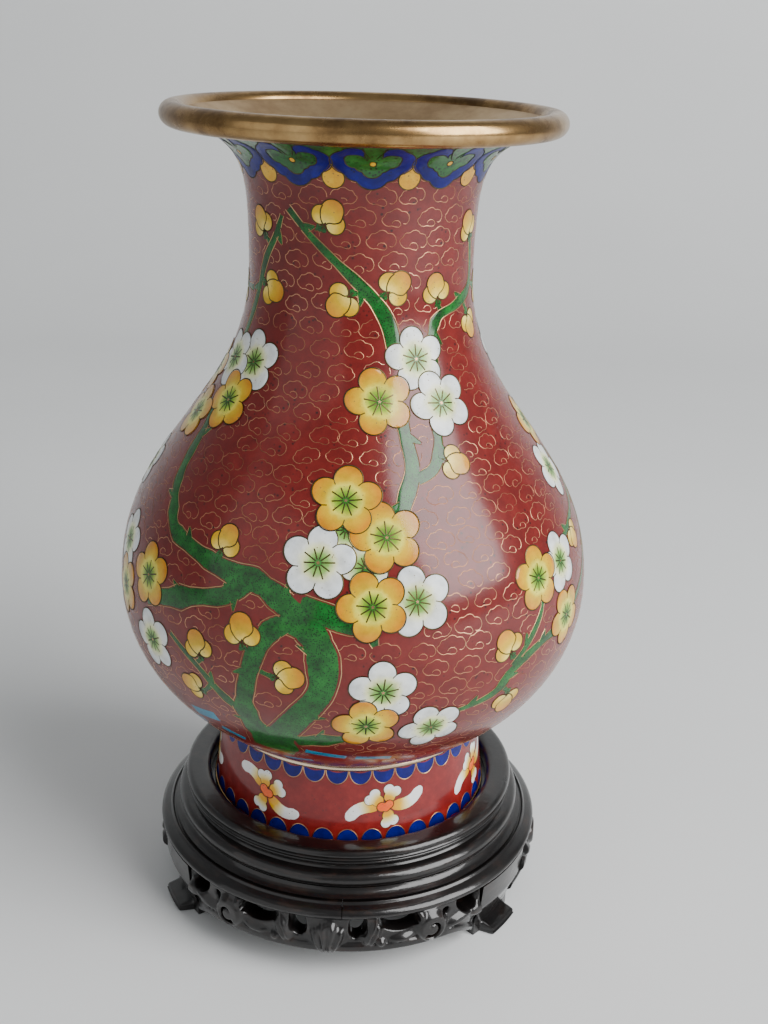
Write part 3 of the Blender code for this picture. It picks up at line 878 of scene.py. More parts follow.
flower_azimuth = np.radians(FOOT_FLOWER_START) + np.arange(FOOT_FLOWERS) * 2 * np.pi / FOOT_FLOWERS
flower_tilt = np.radians(FOOT_FLOWER_TILTS)
flower_along = np.full(FOOT_FLOWERS, 0.5 * (foot_start + foot_end) - 0.4)
heart_petal = lobed([(-1.35, 1.5, 1.85), (1.35, 1.5, 1.85), (0.0, -0.9, 2.0), (0.0, 0.6, 2.1)], 40)
PETALS = ((40.0, 4.3), (-34.0, 4.4), (184.0, 4.4))
petal_parts = []
petal_wires = []
for petal_turn, petal_reach in PETALS:
    turn = flower_tilt + np.radians(petal_turn)
    centre = turned_by(np.array((0.0, petal_reach)), turn)
    shape = turned_by(copies(heart_petal, FOOT_FLOWERS), turn[:, None])
    place = spread(FOOT, flower_azimuth, flower_along, centre)
    petal_parts.append(cells(FOOT, *place, shape, root=-centre, reach=10.5))
    petal_wires.append(outline_wire(FOOT, *place, shape, width=0.22))

# The middle line of a wing and its width: (across, up, width).
WING = (
    (1.6, 0.4, 2.2), (4.0, 1.0, 4.4), (7.0, 1.4, 4.8), (9.8, 0.8, 4.6), (12.0, -0.8, 4.4),
    (13.6, -2.2, 4.2),
)
WING_STEPS = 22


def smooth_path(points, count):
    """Catmull-Rom cubics through the points, read at even steps; each span bends by its neighbours.

    Between b and c, with a before and d after, half of
    2b + (c - a) t + (2a - 5b + 4c - d) t^2 + (3b - 3c + d - a) t^3.
    """
    points = np.asarray(points, float)
    padded = np.vstack([2 * points[0] - points[1], points, 2 * points[-1] - points[-2]])
    place = np.linspace(0.0, len(points) - 1.0, count)
    span = np.minimum(place.astype(int), len(points) - 2)
    t = (place - span)[:, None]
    a, b, c, d = (padded[span + k] for k in range(4))
    curved = (2 * a - 5 * b + 4 * c - d) * t ** 2 + (3 * b - 3 * c + d - a) * t ** 3
    return 0.5 * (2 * b + (c - a) * t + curved)


wing = smooth_path(WING, WING_STEPS)
taper = np.minimum(np.linspace(0.25, 12.0, WING_STEPS), np.linspace(5.0, 0.02, WING_STEPS))
wing_width = wing[:, 2] * np.sqrt(np.clip(taper, 0.0, 1.0))
for side in (-1.0, 1.0):
    local = turned_by(copies(wing[:, :2] * (side, -side), FOOT_FLOWERS), flower_tilt[:, None])
    across, up = spread(FOOT, flower_azimuth, flower_along, local)
    points, faces, shade = ribbon(FOOT, across, up, np.broadcast_to(wing_width, across.shape))
    petal_parts.append((points, faces, shade * (0.9, 1.0) + (0.12, 0.0)))
flowers = add_laid("foot_flower_petals", petal_parts, wing_enamel, shaded=True)
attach(flowers, "vase")

kidney = lobed([(-1.3, 0.1, 1.7), (1.3, 0.3, 1.55), (0.0, -0.4, 1.6)], 32)
kidneys = turned_by(copies(kidney, FOOT_FLOWERS), flower_tilt[:, None])
hearts = add_laid("foot_flower_hearts", [
    cells(FOOT, flower_azimuth, flower_along, kidneys, lift=CELL_LIFT + 0.05),
], orange_enamel)
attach(hearts, "vase")

foot_wires = add_laid("foot_flower_wires", petal_wires + [
    outline_wire(FOOT, flower_azimuth, flower_along, kidneys, lift=CELL_LIFT + 0.06, width=0.3),
], painted_shade_wire)
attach(foot_wires, "vase")

scallop_arc = scallop * (1.02, 1.0)
scallop_wires = add_laid("foot_scallop_wires", [
    wire(FOOT, *spread(FOOT, *low_row, copies(scallop_arc, SCALLOPS)), width=0.28),
    wire(FOOT, *spread(FOOT, *high_row, copies(scallop_arc * (1.0, -1.0), SCALLOPS)), width=0.28),
], fine_wire)
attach(scallop_wires, "vase")


# ---- Body walls and waist ring ------------------------------------------------------------
# The body is spun from sheet copper in three sections, soldered at the widest line and at the
# foot of the neck, and left bare inside. A bright wire ring covers its joint with the foot.

BELLY_HEIGHT = 80.0
NECK_RADIUS = 34.8
NECK_HEIGHT = 182.5
BEAD_RADIUS = 3.6
SOLDER = 0.1
NECK_SETBACK = 0.3
ground_low, _, belly_radius = measured("ground_enamel")
_, mouth_top, mouth_radius = measured("mouth_ring")
waist = (waist_radius, FOOT_HEIGHT + 2.0)
widest = (belly_radius, BELLY_HEIGHT)
narrowest = (NECK_RADIUS, NECK_HEIGHT)
flare_end = (mouth_radius - 1.6 * BEAD_RADIUS, mouth_top - vase_base - 1.15 * BEAD_RADIUS)


def bent_arc(start, end, first_pull, second_pull, steps=80):
    """A Bezier cubic from start to end; each pull is its handle's share (across, up) of the span.

    (1-t)^3 A + 3 (1-t)^2 t P + 3 (1-t) t^2 Q + t^3 B.
    """
    start, end = np.array(start), np.array(end)
    t = np.linspace(0.0, 1.0, steps)[:, None]
    first = start + (end - start) * first_pull
    second = start + (end - start) * second_pull
    ends = (1 - t) ** 3 * start + t ** 3 * end
    return ends + 3 * (1 - t) ** 2 * t * first + 3 * (1 - t) * t ** 2 * second


body_line = np.vstack([
    bent_arc(waist, widest, (0.59, 0.24), (1.0, 0.575)),
    bent_arc(widest, narrowest, (0.0, 0.45), (1.0, 0.57))[1:],
    bent_arc(narrowest, flare_end, (0.0, 0.80), (0.12, 0.80))[1:],
])
BODY = Outline(body_line[:, 0], body_line[:, 1] + vase_base)

satin_brass = mottled_metal(
    "satin_brass", (0.60, 0.44, 0.25), (0.50, 0.345, 0.185), (0.36, 0.235, 0.12), 0.36, 8.0
)
for section, rows in (("lower_belly_shell", 50), ("upper_belly_shell", 60), ("neck_shell", 80)):
    is_neck = section == "neck_shell"
    low, high, _ = measured(section)
    wall = wall_piece(
        f"{section}_spun", BODY, BODY.length_at(low) + SOLDER,
        BODY.length - NECK_SETBACK if is_neck else BODY.length_at(high) - SOLDER,
        -ENAMEL - SEAM, -ENAMEL - COPPER, satin_brass if is_neck else copper, rows,
    )
    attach(wall, "vase")
    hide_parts(section)

bright_brass = mottled_metal(
    "bright_brass", (0.86, 0.74, 0.56), (0.76, 0.60, 0.42), (0.50, 0.36, 0.22), 0.22, 5.0
)
waist_ring = turned("waist_ring_turned", rounded([
    (waist_radius - 1.6, waist_low, 0.1),
    (waist_radius - 1.6, waist_high, 0.1),
    (waist_radius - 0.15, waist_high, 0.6),
    (waist_radius + 0.15, 0.5 * (waist_low + waist_high), 0.7),
    (waist_radius - 0.5, waist_low, 0.5),
]), bright_brass)
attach(waist_ring, "vase")
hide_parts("waist_ring")


# ---- Red ground ---------------------------------------------------------------------------
# Brick red enamel fills the whole body between the wires, ground level and polished to a gloss
# that shows soft cloudy mottling, small pinholes and a slightly uneven skin.

ground_red = enamel(
    "brick_red_enamel",
    [(0.28, (0.098, 0.0040, 0.0030)), (0.5, (0.135, 0.0070, 0.0050)), (0.74, (0.180, 0.013, 0.009))],
    (0.03, 0.003, 0.003), speck_size=520.0, coat_roughness=0.17,
)
ground = wall_piece(
    "red_ground", BODY, BODY.length_at(ground_low), BODY.length, 0.0, -ENAMEL + 0.02,
    ground_red, 220, 270,
)
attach(ground, "vase")
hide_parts("ground_enamel")


# ---- Tree and rocks -----------------------------------------------------------------------
# A plum tree in speckled malachite green grows from blue rocks at the foot and divides round
# the belly; other boughs reach up the neck. A brass wire holds the enamel along both sides.

# Each bough is a list of (azimuth in degrees, height above the foot's rim, width).
FRONT_BOUGHS = (
    ((-22.0, 43.0, 17.5), (-19.5, 49.0, 15.0), (-16.0, 56.0, 11.0), (-11.5, 63.9, 8.8), (-6.6, 73.6, 9.0),
     (-6.0, 82.5, 9.6), (-7.6, 90.3, 10.6), (-12.0, 96.4, 9.4), (-17.5, 101.6, 8.0), (-23.0, 104.6, 7.2),
     (-28.8, 105.2, 6.8), (-35.3, 106.6, 6.4), (-43.0, 108.6, 6.0), (-50.1, 110.9, 5.4), (-54.8, 116.5, 4.8),
     (-59.0, 123.4, 4.4), (-60.8, 130.3, 4.2), (-62.1, 137.8, 3.8), (-66.0, 145.0, 3.2)),
    ((-8.0, 93.0, 8.5), (-16.0, 93.5, 6.4), (-20.8, 84.7, 6.6), (-23.4, 72.8, 7.0), (-24.6, 63.1, 7.6),
     (-23.0, 54.0, 9.0), (-21.0, 46.0, 10.0)),
    ((-24.0, 104.0, 6.4), (-29.5, 98.6, 6.2), (-38.0, 95.5, 6.6), (-46.0, 92.0, 6.6), (-55.0, 88.5, 5.8)),
    ((-22.0, 52.0, 6.0), (-26.0, 61.0, 4.4), (-30.8, 67.0, 3.2), (-36.5, 74.2, 2.4), (-44.9, 81.5, 1.8)),
    ((-14.0, 52.0, 8.0), (-7.0, 54.0, 6.5), (-1.0, 55.5, 4.0)),
    ((-12.0, 100.0, 7.0), (-4.0, 97.0, 8.0), (3.0, 94.0, 5.0), (5.0, 89.0, 2.0)),
    ((-36.9, 203.7, 2.0), (-26.0, 197.0, 2.0), (-13.0, 190.0, 3.0), (0.5, 182.6, 3.2), (8.8, 177.0, 4.2),
     (14.0, 171.0, 4.4), (16.6, 163.0, 4.4)),
    ((60.0, 203.0, 1.8), (68.0, 192.0, 2.2), (69.4, 180.2, 2.8), (55.0, 175.6, 3.0), (40.8, 173.0, 3.6),
     (35.6, 167.2, 3.8), (34.0, 158.0, 3.6)),
    ((-40.6, 201.3, 1.9), (-46.0, 194.5, 2.2), (-53.7, 187.4, 2.8), (-60.6, 177.2, 3.0), (-66.0, 167.0, 3.4),
     (-69.0, 158.0, 3.6)),
    ((16.0, 147.0, 4.4), (16.8, 141.0, 4.6), (17.2, 134.0, 5.4), (13.6, 126.6, 5.2), (11.0, 120.0, 4.6)),
    ((29.4, 145.0, 3.4), (27.6, 138.4, 3.4), (24.0, 133.6, 3.6), (17.0, 131.0, 4.0)),
    ((24.0, 64.0, 1.6), (30.0, 65.4, 2.4), (35.1, 68.0, 3.4), (38.5, 73.5, 4.2), (44.0, 77.4, 4.2),
     (49.5, 79.6, 3.6), (56.0, 81.0, 3.0), (64.0, 84.4, 2.8), (72.1, 88.8, 2.6), (80.0, 96.0, 2.6),
     (86.0, 106.0, 2.6), (88.9, 117.0, 2.4), (87.0, 126.0, 2.0)),
    ((38.5, 75.0, 2.8), (43.5, 82.0, 2.8), (47.5, 89.0, 2.2), (49.0, 95.0, 1.2)),
    ((88.9, 114.9, 2.2), (80.0, 110.6, 2.4), (70.0, 107.4, 2.4), (62.7, 105.6, 2.0)),
)
# Azimuth, height, half width, half height, and tilt in degrees.
ROCKS = (
    (-40.0, 53.0, 5.8, 4.2, 12.0), (-33.4, 46.8, 4.2, 2.6, -25.0), (-6.4, 45.4, 6.4, 2.6, -14.0),
    (6.8, 43.6, 5.6, 2.5, -6.0), (-47.0, 46.0, 4.0, 2.0, 20.0), (-16.0, 38.5, 5.0, 2.0, 10.0),
)
STEP_ALONG_BOUGH = 1.2
KNOT_STEPS = 4
SPUR_SPACING = 21.0
SPUR_SLANT = 55.0
SPUR_WIDTHS = (3.4, 2.2, 0.5)
BANK_OVERLAP = 0.12


def mirrored_to_back(rows, limit, squeeze=0.96):
    """The same rows once more on the far side, turned over left to right, within limit degrees."""
    return [(180.0 - row[0] * squeeze, *row[1:]) for row in rows if abs(row[0]) <= limit]


def on_body(rows):
    """Listed rows (azimuth in degrees, height above the foot, ...) as azimuth, length and the rest."""
    rows = np.array(rows, float)
    return np.radians(rows[:, 0]), BODY.length_at(rows[:, 1] + vase_base), rows[:, 2:]


def even_bough(rows):
    """A bough as an even, slightly knotty path: azimuths, lengths and widths."""
    azimuth, along, width = on_body(rows)
    steps = np.hypot(np.diff(azimuth) * BODY.radius_at(along[1:]), np.diff(along))
    count = int(steps.sum() / STEP_ALONG_BOUGH) + 2
    path = smooth_path(np.column_stack([azimuth, along, width]), count)
    knot_places = np.arange(0, count + KNOT_STEPS, KNOT_STEPS)
    knot_sizes = 1.0 + 0.15 * random.standard_normal(len(knot_places))
    knots = np.interp(np.arange(count), knot_places, knot_sizes)
    path[:, 2] = np.maximum(path[:, 2], 0.6) * np.clip(knots, 0.8, 1.25)
    return path


back_boughs = [mirrored_to_back(rows, 74.0) for rows in FRONT_BOUGHS]
boughs = [even_bough(rows) for rows in [*FRONT_BOUGHS, *back_boughs] if len(rows) > 2]


def spurs_on(path):
    """Short thorns that leave a bough aslant, on alternate sides, each tapering to a point."""
    starts = np.arange(6, len(path) - 6, int(SPUR_SPACING / STEP_ALONG_BOUGH))
    made = []
    for number, start in enumerate(starts):
        radius = BODY.radius_at(path[start, 1])
        ahead = path[start + 1] - path[start - 1]
        heading = np.arctan2(ahead[1], ahead[0] * radius) + np.radians(SPUR_SLANT) * (-1) ** number
        reach = 0.5 * path[start, 2] + 2.2 + 1.6 * random.random()
        share = np.linspace(0.0, 1.0, 7)
        made.append(np.column_stack([
            path[start, 0] + reach * share * np.cos(heading) / radius,
            path[start, 1] + reach * share * np.sin(heading),
            np.interp(share, (0.0, 0.5, 1.0), SPUR_WIDTHS),
        ]))
    return made


spurs = [spur for path in boughs for spur in spurs_on(path)]
wood_paths = boughs + spurs
wood_discs = [path * (1.0, 1.0, 0.5) for path in wood_paths]


def short_way(angle):
    """The same angle between minus half a turn and half a turn."""
    return (angle + np.pi) % (2 * np.pi) - np.pi


def clearance(azimuth, along, discs):
    """Distance on the body from each place to the nearest disc's rim, negative inside a disc.

    A disc is (azimuth, length, radius). The distance across is the azimuth difference, taken the
    short way, times the local radius.
    """
    nearest = np.full(azimuth.shape, 1e6)
    radius = BODY.radius_at(along)
    for disc_azimuth, disc_along, disc_radius in discs:
        across = short_way(azimuth - disc_azimuth)
        np.minimum(nearest, np.hypot(across * radius, along - disc_along) - disc_radius, out=nearest)
    return nearest


def bank_wires(paths, others, **settings):
    """Wires along both banks of bands, left out where they would run inside another band."""
    azimuth, along, width = np.moveaxis(np.array(paths), -1, 0)
    made = []
    for side in (-0.5, 0.5):
        bank = [place[..., 0] for place in beside(BODY, azimuth, along, side * width[..., None])]
        keep = clearance(*bank, others)[:, 1:] > -BANK_OVERLAP
        made.append(wire(BODY, *bank, keep=keep, **settings))
    return made


malachite = enamel(
    "malachite_enamel",
    [(0.30, (0.0008, 0.026, 0.0024)), (0.46, (0.0020, 0.078, 0.0065)), (0.66, (0.008, 0.150, 0.017))],
    (0.0002, 0.004, 0.0010), speck_size=1750.0, speck_edge=0.42, spread_from=0.33,
)
wood_parts = [
    ribbon(BODY, *path.T[:, None], lift=0.045 + 0.002 * number) for number, path in enumerate(boughs)
]
wood_parts.append(ribbon(BODY, *np.moveaxis(np.array(spurs), -1, 0), lift=0.04))
tree = add_laid("plum_tree", wood_parts, malachite)
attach(tree, "vase")

teal = enamel(
    "teal_enamel",
    [(0.3, (0.001, 0.13, 0.24)), (0.5, (0.002, 0.19, 0.32)), (0.7, (0.01, 0.28, 0.42))],
    (0.003, 0.03, 0.06),
)
rocks = ROCKS + tuple(mirrored_to_back(ROCKS, 60.0))
rock_azimuth, rock_along, rock_shape = on_body(rocks)
corner_angle = np.radians((22.0, 158.0, 205.0, 334.0))
corners = unit(corner_angle) * (1.0, 1.25)
facet = np.linspace(0.0, 4.0, 40, endpoint=False)
facet_start = corners[facet.astype(int)]
facet_end = corners[(facet.astype(int) + 1) % 4]
rock_outline = facet_start + (facet_end - facet_start) * (facet % 1.0)[:, None]
rock_outlines = turned_by(
    rock_outline[None] * rock_shape[:, None, :2] * 1.1, np.radians(rock_shape[:, 2])[:, None]
)
rock_cells = add_laid("rocks", [
    cells(BODY, rock_azimuth, rock_along, rock_outlines, lift=0.03),
], teal)
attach(rock_cells, "vase")


# ---- Plum blossoms ------------------------------------------------------------------------
# Each blossom is five round wire petals filled with white or yellow glass that pales inwards,
# and a green heart where straight stamen wires spread from a small star of brass.

BLOSSOM_RADIUS = 9.9
PETAL_PLACE = 0.635
PETAL_RADIUS = 0.415
STAMENS = 10
STAR_GAP = 0.3
LOWEST_LIFT = 0.12
LAYER_LIFT = 0.04

# Blossoms from the lowest layer to the highest: azimuth, height above the foot, radius, turn.
WHITE_BLOSSOMS = (
    (25.9, 161.9, 9.2, 8.0), (33.7, 149.4, 9.8, 20.0), (-2.2, 119.8, 7.0, 0.0), (2.6, 110.5, 6.5, 30.0),
    (14.2, 101.2, 10.0, 12.0), (-8.3, 111.3, 10.4, -6.0), (6.9, 74.4, 9.8, 4.0), (19.2, 58.8, 9.6, 24.0),
    (58.6, 100.6, 9.4, 10.0), (77.3, 122.3, 9.6, 30.0), (-51.6, 157.2, 9.6, 12.0), (-68.7, 156.0, 9.2, 40.0),
    (-71.4, 98.5, 9.6, 0.0), (-52.2, 74.9, 9.6, 20.0), (84.0, 62.0, 9.0, 5.0), (96.0, 158.0, 9.0, 5.0),
    (-88.0, 118.0, 9.4, 15.0), (-95.0, 66.0, 9.0, 33.0),
)
YELLOW_BLOSSOMS = (
    (8.3, 151.0, 9.8, 16.0), (4.3, 100.3, 10.0, 22.0), (7.9, 117.9, 10.2, 14.0), (-2.6, 126.7, 10.0, -4.0),
    (3.6, 61.7, 9.8, 10.0), (47.8, 99.7, 9.6, 0.0), (59.2, 82.8, 9.4, 28.0), (86.3, 134.9, 9.4, 12.0),
    (-56.9, 145.3, 9.6, 26.0), (-75.3, 137.9, 9.2, 8.0), (-55.0, 94.9, 9.8, 12.0), (-68.6, 84.8, 9.6, 30.0),
    (-88.0, 150.0, 9.2, 0.0), (92.0, 82.0, 9.4, 20.0), (-100.0, 96.0, 9.4, 11.0),
)


def with_back(rows, limit=76.0):
    """Front motifs and their mirror images on the back of the vase."""
    return tuple(rows) + tuple(mirrored_to_back(rows, limit))


whites, yellows = with_back(WHITE_BLOSSOMS), with_back(YELLOW_BLOSSOMS)
blossom_azimuth, blossom_along, blossom_rest = on_body(whites + yellows)
blossom_size = blossom_rest[:, 0]
blossom_turn = np.radians(blossom_rest[:, 1])
blossom_white = np.arange(len(blossom_size)) < len(whites)
blossom_gap = np.hypot(
    short_way(blossom_azimuth[:, None] - blossom_azimuth) * BODY.radius_at(blossom_along),
    blossom_along[:, None] - blossom_along,
)
blossom_layer = np.zeros(len(blossom_size))
for number in range(1, len(blossom_size)):
    under = blossom_gap[number, :number] < blossom_size[number] + blossom_size[:number]
    blossom_layer[number] = max(blossom_layer[:number][under] + 1.0, default=0.0)
blossom_lift = LOWEST_LIFT + LAYER_LIFT * blossom_layer
petal_angle = np.radians(90.0 + 72.0 * np.arange(5))


def enlarged(shape, sizes, turns):
    """A unit shape's places at each of several sizes, turned by each of as many angles."""
    extra = (1,) * (np.ndim(shape) - 1)
    return turned_by(shape * np.reshape(sizes, (-1, *extra, 1)), np.reshape(turns, (-1, *extra)))


def on_blossoms(shape):
    """A unit shape laid on every blossom, as azimuths and lengths."""
    return spread(BODY, blossom_azimuth, blossom_along, enlarged(shape, blossom_size, blossom_turn))


def lobe_discs(azimuth, along, lobe_radius, sizes):
    """The discs (azimuth, length, radius) that a motif's lobes cover, at each of its sizes."""
    return np.stack([azimuth, along, lobe_radius * sizes[:, None] + 0.0 * along], axis=-1)


petal_centres = PETAL_PLACE * unit(petal_angle)
blossom_unit = lobed([(*centre, PETAL_RADIUS) for centre in petal_centres], 80)
petal_discs = lobe_discs(*on_blossoms(petal_centres), PETAL_RADIUS, blossom_size)


def uncovered(azimuth, along, gap):
    """Whether each place on each blossom is further than a gap from all the blossoms over it."""
    return np.array([
        clearance(azimuth[k], along[k], petal_discs[k + 1:].reshape(-1, 3)) > gap
        for k in range(len(petal_discs))
    ])


COLOUR_STOPS = {
    "white_blossom": (
        (0.08, (0.025, 0.17, 0.02)), (0.28, (0.25, 0.48, 0.09)), (0.46, (0.80, 0.82, 0.44)),
        (0.62, (0.80, 0.82, 0.76)), (0.90, (0.74, 0.78, 0.80)),
    ),
    "yellow_blossom": (
        (0.08, (0.020, 0.15, 0.01)), (0.28, (0.25, 0.42, 0.020)), (0.46, (0.78, 0.70, 0.07)),
        (0.60, (0.68, 0.43, 0.0004)), (0.95, (0.62, 0.235, 0.0001)),
    ),
}
for colour, chosen in (("white_blossom", blossom_white), ("yellow_blossom", ~blossom_white)):
    glass = shaded_enamel(f"{colour}_enamel", COLOUR_STOPS[colour], (0.16, 0.10, 0.05))
    outlines = enlarged(blossom_unit, blossom_size[chosen], blossom_turn[chosen])
    blossoms = add_laid(f"{colour}s", [cells(
        BODY, blossom_azimuth[chosen], blossom_along[chosen], outlines,
        lift=blossom_lift[chosen], reach=BLOSSOM_RADIUS, rings=9,
    )], glass, shaded=True)
    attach(blossoms, "vase")

# Stamens are straight, long and short in turn.
stamen_root = 0.09
stamen_angle = np.arange(STAMENS) * 2 * np.pi / STAMENS + np.radians(9.0)
stamen_reach = np.where(np.arange(STAMENS) % 2 == 0, 0.47, 0.40)[:, None, None]
stamen_share = np.linspace(0.0, 1.0, 4)[:, None]
stamens = (stamen_root + (stamen_reach - stamen_root) * stamen_share) * unit(stamen_angle)[:, None]

# A short curl runs inwards from each notch between two petals, where their circles meet:
# p cos 36 + sqrt(q^2 - p^2 sin^2 36) out, with p the petals' place and q their radius.
half_step = np.radians(36.0)
notch_reach = PETAL_PLACE * np.cos(half_step) + np.sqrt(
    PETAL_RADIUS ** 2 - (PETAL_PLACE * np.sin(half_step)) ** 2
)
notch_share = np.linspace(1.0, 0.80, 4)[:, None]
notch_angle = (petal_angle + half_step)[:, None] + 0.25 * (1.0 - notch_share[:, 0])
notches = notch_reach * notch_share * unit(notch_angle)


def blossom_wire(shape, width, gap):
    """The wires of one unit shape[m, n] on every blossom, left out where another blossom covers them."""
    azimuth, along = on_blossoms(shape)
    keep = uncovered(azimuth, along, gap)[..., 1:]
    count = len(shape)
    return wire(
        BODY, azimuth.reshape(-1, shape.shape[1]), along.reshape(-1, shape.shape[1]),
        keep=keep.reshape(-1, shape.shape[1] - 1), width=width, lift=np.repeat(blossom_lift, count),
    )


blossom_wires = add_laid("blossom_wires", [
    blossom_wire(looped(blossom_unit[None]), 0.36, -0.05),
    blossom_wire(stamens, 0.45, 0.0),
    blossom_wire(notches, 0.34, 0.0),
], painted_shade_wire)
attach(blossom_wires, "vase")

star_lobes = [(*place, 0.16) for place in 0.42 * unit(petal_angle)] + [(0.0, 0.0, 0.26)]
stars = copies(lobed(star_lobes, 30), len(blossom_size)) * (blossom_size / BLOSSOM_RADIUS)[:, None, None]
bare = uncovered(blossom_azimuth, blossom_along, STAR_GAP)
star_dots = add_laid("blossom_stars", [cells(
    BODY, blossom_azimuth[bare], blossom_along[bare], stars[bare],
    lift=blossom_lift[bare] + 0.06, rings=2,
)], fine_wire)
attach(star_dots, "vase")


# ---- Buds ---------------------------------------------------------------------------------
# A bud is three overlapping yellow petals parted by two S-shaped wires that meet at its base,
# where a short green stalk joins it to the nearest bough.

# Azimuth, height above the foot, radius, and the direction of the stalk in degrees from +X.
FRONT_BUDS = (
    (-15.4, 202.1, 5.6, -118.0), (-56.7, 197.9, 5.4, -60.0), (63.4, 197.9, 5.4, -64.0),
    (16.5, 182.7, 5.6, -140.0), (-8.6, 178.2, 5.6, 42.0), (39.4, 180.9, 5.4, -78.0),
    (-48.6, 179.3, 5.6, 165.0), (66.0, 168.8, 5.2, 110.0), (31.7, 134.4, 5.6, 160.0),
    (-32.5, 112.7, 5.6, -100.0), (-24.5, 89.5, 6.2, -80.0), (-36.0, 80.9, 5.6, -70.0),
    (-38.8, 65.7, 5.4, -10.0), (-13.9, 77.8, 5.8, 188.0), (36.6, 82.9, 5.8, -60.0),
    (39.4, 61.9, 5.6, 100.0), (70.4, 103.8, 5.4, 120.0), (-84.0, 176.0, 5.4, 20.0),
    (84.0, 178.0, 5.4, 170.0), (-80.0, 70.0, 5.4, 10.0),
)
buds = with_back(FRONT_BUDS, 72.0)
bud_azimuth, bud_along, bud_rest = on_body(buds)
bud_back = np.arange(len(buds)) >= len(FRONT_BUDS)
bud_size = bud_rest[:, 0]
bud_heading = np.radians(np.where(bud_back, 180.0 - bud_rest[:, 1], bud_rest[:, 1]))
bud_turn = bud_heading + np.radians(105.0)
BUD_LOBES = np.array(((0.10, 0.34, 0.60), (-0.46, 0.00, 0.50), (0.42, -0.30, 0.50)))
BUD_BASE = np.array((-0.22, -0.72))
BUD_LIFT = 0.10
LONGEST_STALK = 14.0
SHORT_STALK = 3.0
bud_outlines = enlarged(lobed(BUD_LOBES, 48), bud_size, bud_turn)
bud_base = enlarged(BUD_BASE, bud_size, bud_turn)
bud_enamel = shaded_enamel("bud_enamel", [
    (0.10, (0.80, 0.74, 0.22)),
    (0.34, (0.88, 0.62, 0.09)),
    (0.52, (0.68, 0.42, 0.0004)),
    (0.9, (0.62, 0.24, 0.0001)),
], (0.16, 0.10, 0.05))
bud_cells = add_laid("buds", [cells(
    BODY, bud_azimuth, bud_along, bud_outlines, lift=BUD_LIFT, root=bud_base,
    reach=1.75 * bud_size.mean(),
)], bud_enamel, shaded=True)
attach(bud_cells, "vase")

S_CURVES = (
    ((-0.44, 0.52), (-0.50, 0.20), (-0.40, -0.20), (-0.22, -0.48), (-0.22, -0.74)),
    ((0.69, 0.14), (0.62, -0.10), (0.36, -0.26), (0.02, -0.34), (-0.20, -0.72)),
)
bud_wire_parts = [outline_wire(BODY, bud_azimuth, bud_along, bud_outlines, lift=BUD_LIFT, width=0.34)]
for s_curve in S_CURVES:
    s_paths = spread(BODY, bud_azimuth, bud_along, enlarged(smooth_path(s_curve, 18), bud_size, bud_turn))
    bud_wire_parts.append(wire(BODY, *s_paths, lift=BUD_LIFT, width=0.40))
bud_wires = add_laid("bud_wires", bud_wire_parts, painted_shade_wire)
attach(bud_wires, "vase")

bud_lobes = spread(BODY, bud_azimuth, bud_along, enlarged(BUD_LOBES[:, :2], bud_size, bud_turn))
bud_discs = lobe_discs(*bud_lobes, BUD_LOBES[:, 2], bud_size)

# A stalk runs to the nearest place on the tree, or a short way on if that is too far.
all_wood = np.vstack(wood_discs)
base_azimuth = bud_azimuth + bud_base[:, 0] / BODY.radius_at(bud_along)
base_along = bud_along + bud_base[:, 1]
base_radius = BODY.radius_at(base_along)
gap_across = short_way(all_wood[:, 0] - base_azimuth[:, None])
gap_up = all_wood[:, 1] - base_along[:, None]
gap = np.hypot(gap_across * base_radius[:, None], gap_up)
nearest = np.argmin(gap, axis=1)[:, None]
too_far = gap.min(axis=1, keepdims=True) > LONGEST_STALK
short = SHORT_STALK * unit(bud_heading)
reach_across = np.where(
    too_far, short[:, :1] / base_radius[:, None], np.take_along_axis(gap_across, nearest, axis=1)
)
reach_up = np.where(too_far, short[:, 1:], np.take_along_axis(gap_up, nearest, axis=1))
stalk_share = np.linspace(-0.08, 1.0, 9)
stalk_width = np.interp(stalk_share, (0.0, 0.3, 1.0), (1.9, 1.5, 2.6))
stalk_paths = np.stack(np.broadcast_arrays(
    base_azimuth[:, None] + reach_across * stalk_share,
    base_along[:, None] + reach_up * stalk_share,
    stalk_width,
))
calyx = lobed([(0.0, 0.3, 0.9), (-0.7, -0.2, 0.7), (0.7, -0.2, 0.7)], 24)
calyxes = turned_by(copies(calyx, len(buds)), bud_turn[:, None])
stalks = add_laid("bud_stalks", [
    ribbon(BODY, *stalk_paths, lift=0.07, columns=5),
    cells(BODY, base_azimuth, base_along, calyxes, lift=0.12, rings=3),
], malachite)
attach(stalks, "vase")

flower_discs = np.vstack([petal_discs.reshape(-1, 3), bud_discs.reshape(-1, 3)])
BOUGH_WIRE = 0.26
SPUR_WIRE = 0.18
tree_wire_parts = []
for number, path in enumerate(wood_paths):
    others = np.vstack(wood_discs[:number] + wood_discs[number + 1:])
    near = np.abs(others[:, 1] - path[:, 1].mean()) < np.ptp(path[:, 1]) + 20.0
    blocking = np.vstack([others[near], flower_discs])
    bank_width = BOUGH_WIRE if number < len(boughs) else SPUR_WIRE
    tree_wire_parts += bank_wires([path], blocking, lift=0.06, width=bank_width)
tree_wire_parts += bank_wires(
    np.moveaxis(stalk_paths, 0, -1), np.vstack([all_wood, flower_discs]), lift=0.07, width=SPUR_WIRE
)
tree_wires = add_laid("tree_wires", tree_wire_parts, fine_wire)
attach(tree_wires, "vase")


# ---- Cloud wires --------------------------------------------------------------------------
# Between the flowers the red ground is held by hundreds of small brass cloud shapes, each one
# wire bent into five lobes with an inward curl, set in staggered rows round the body.

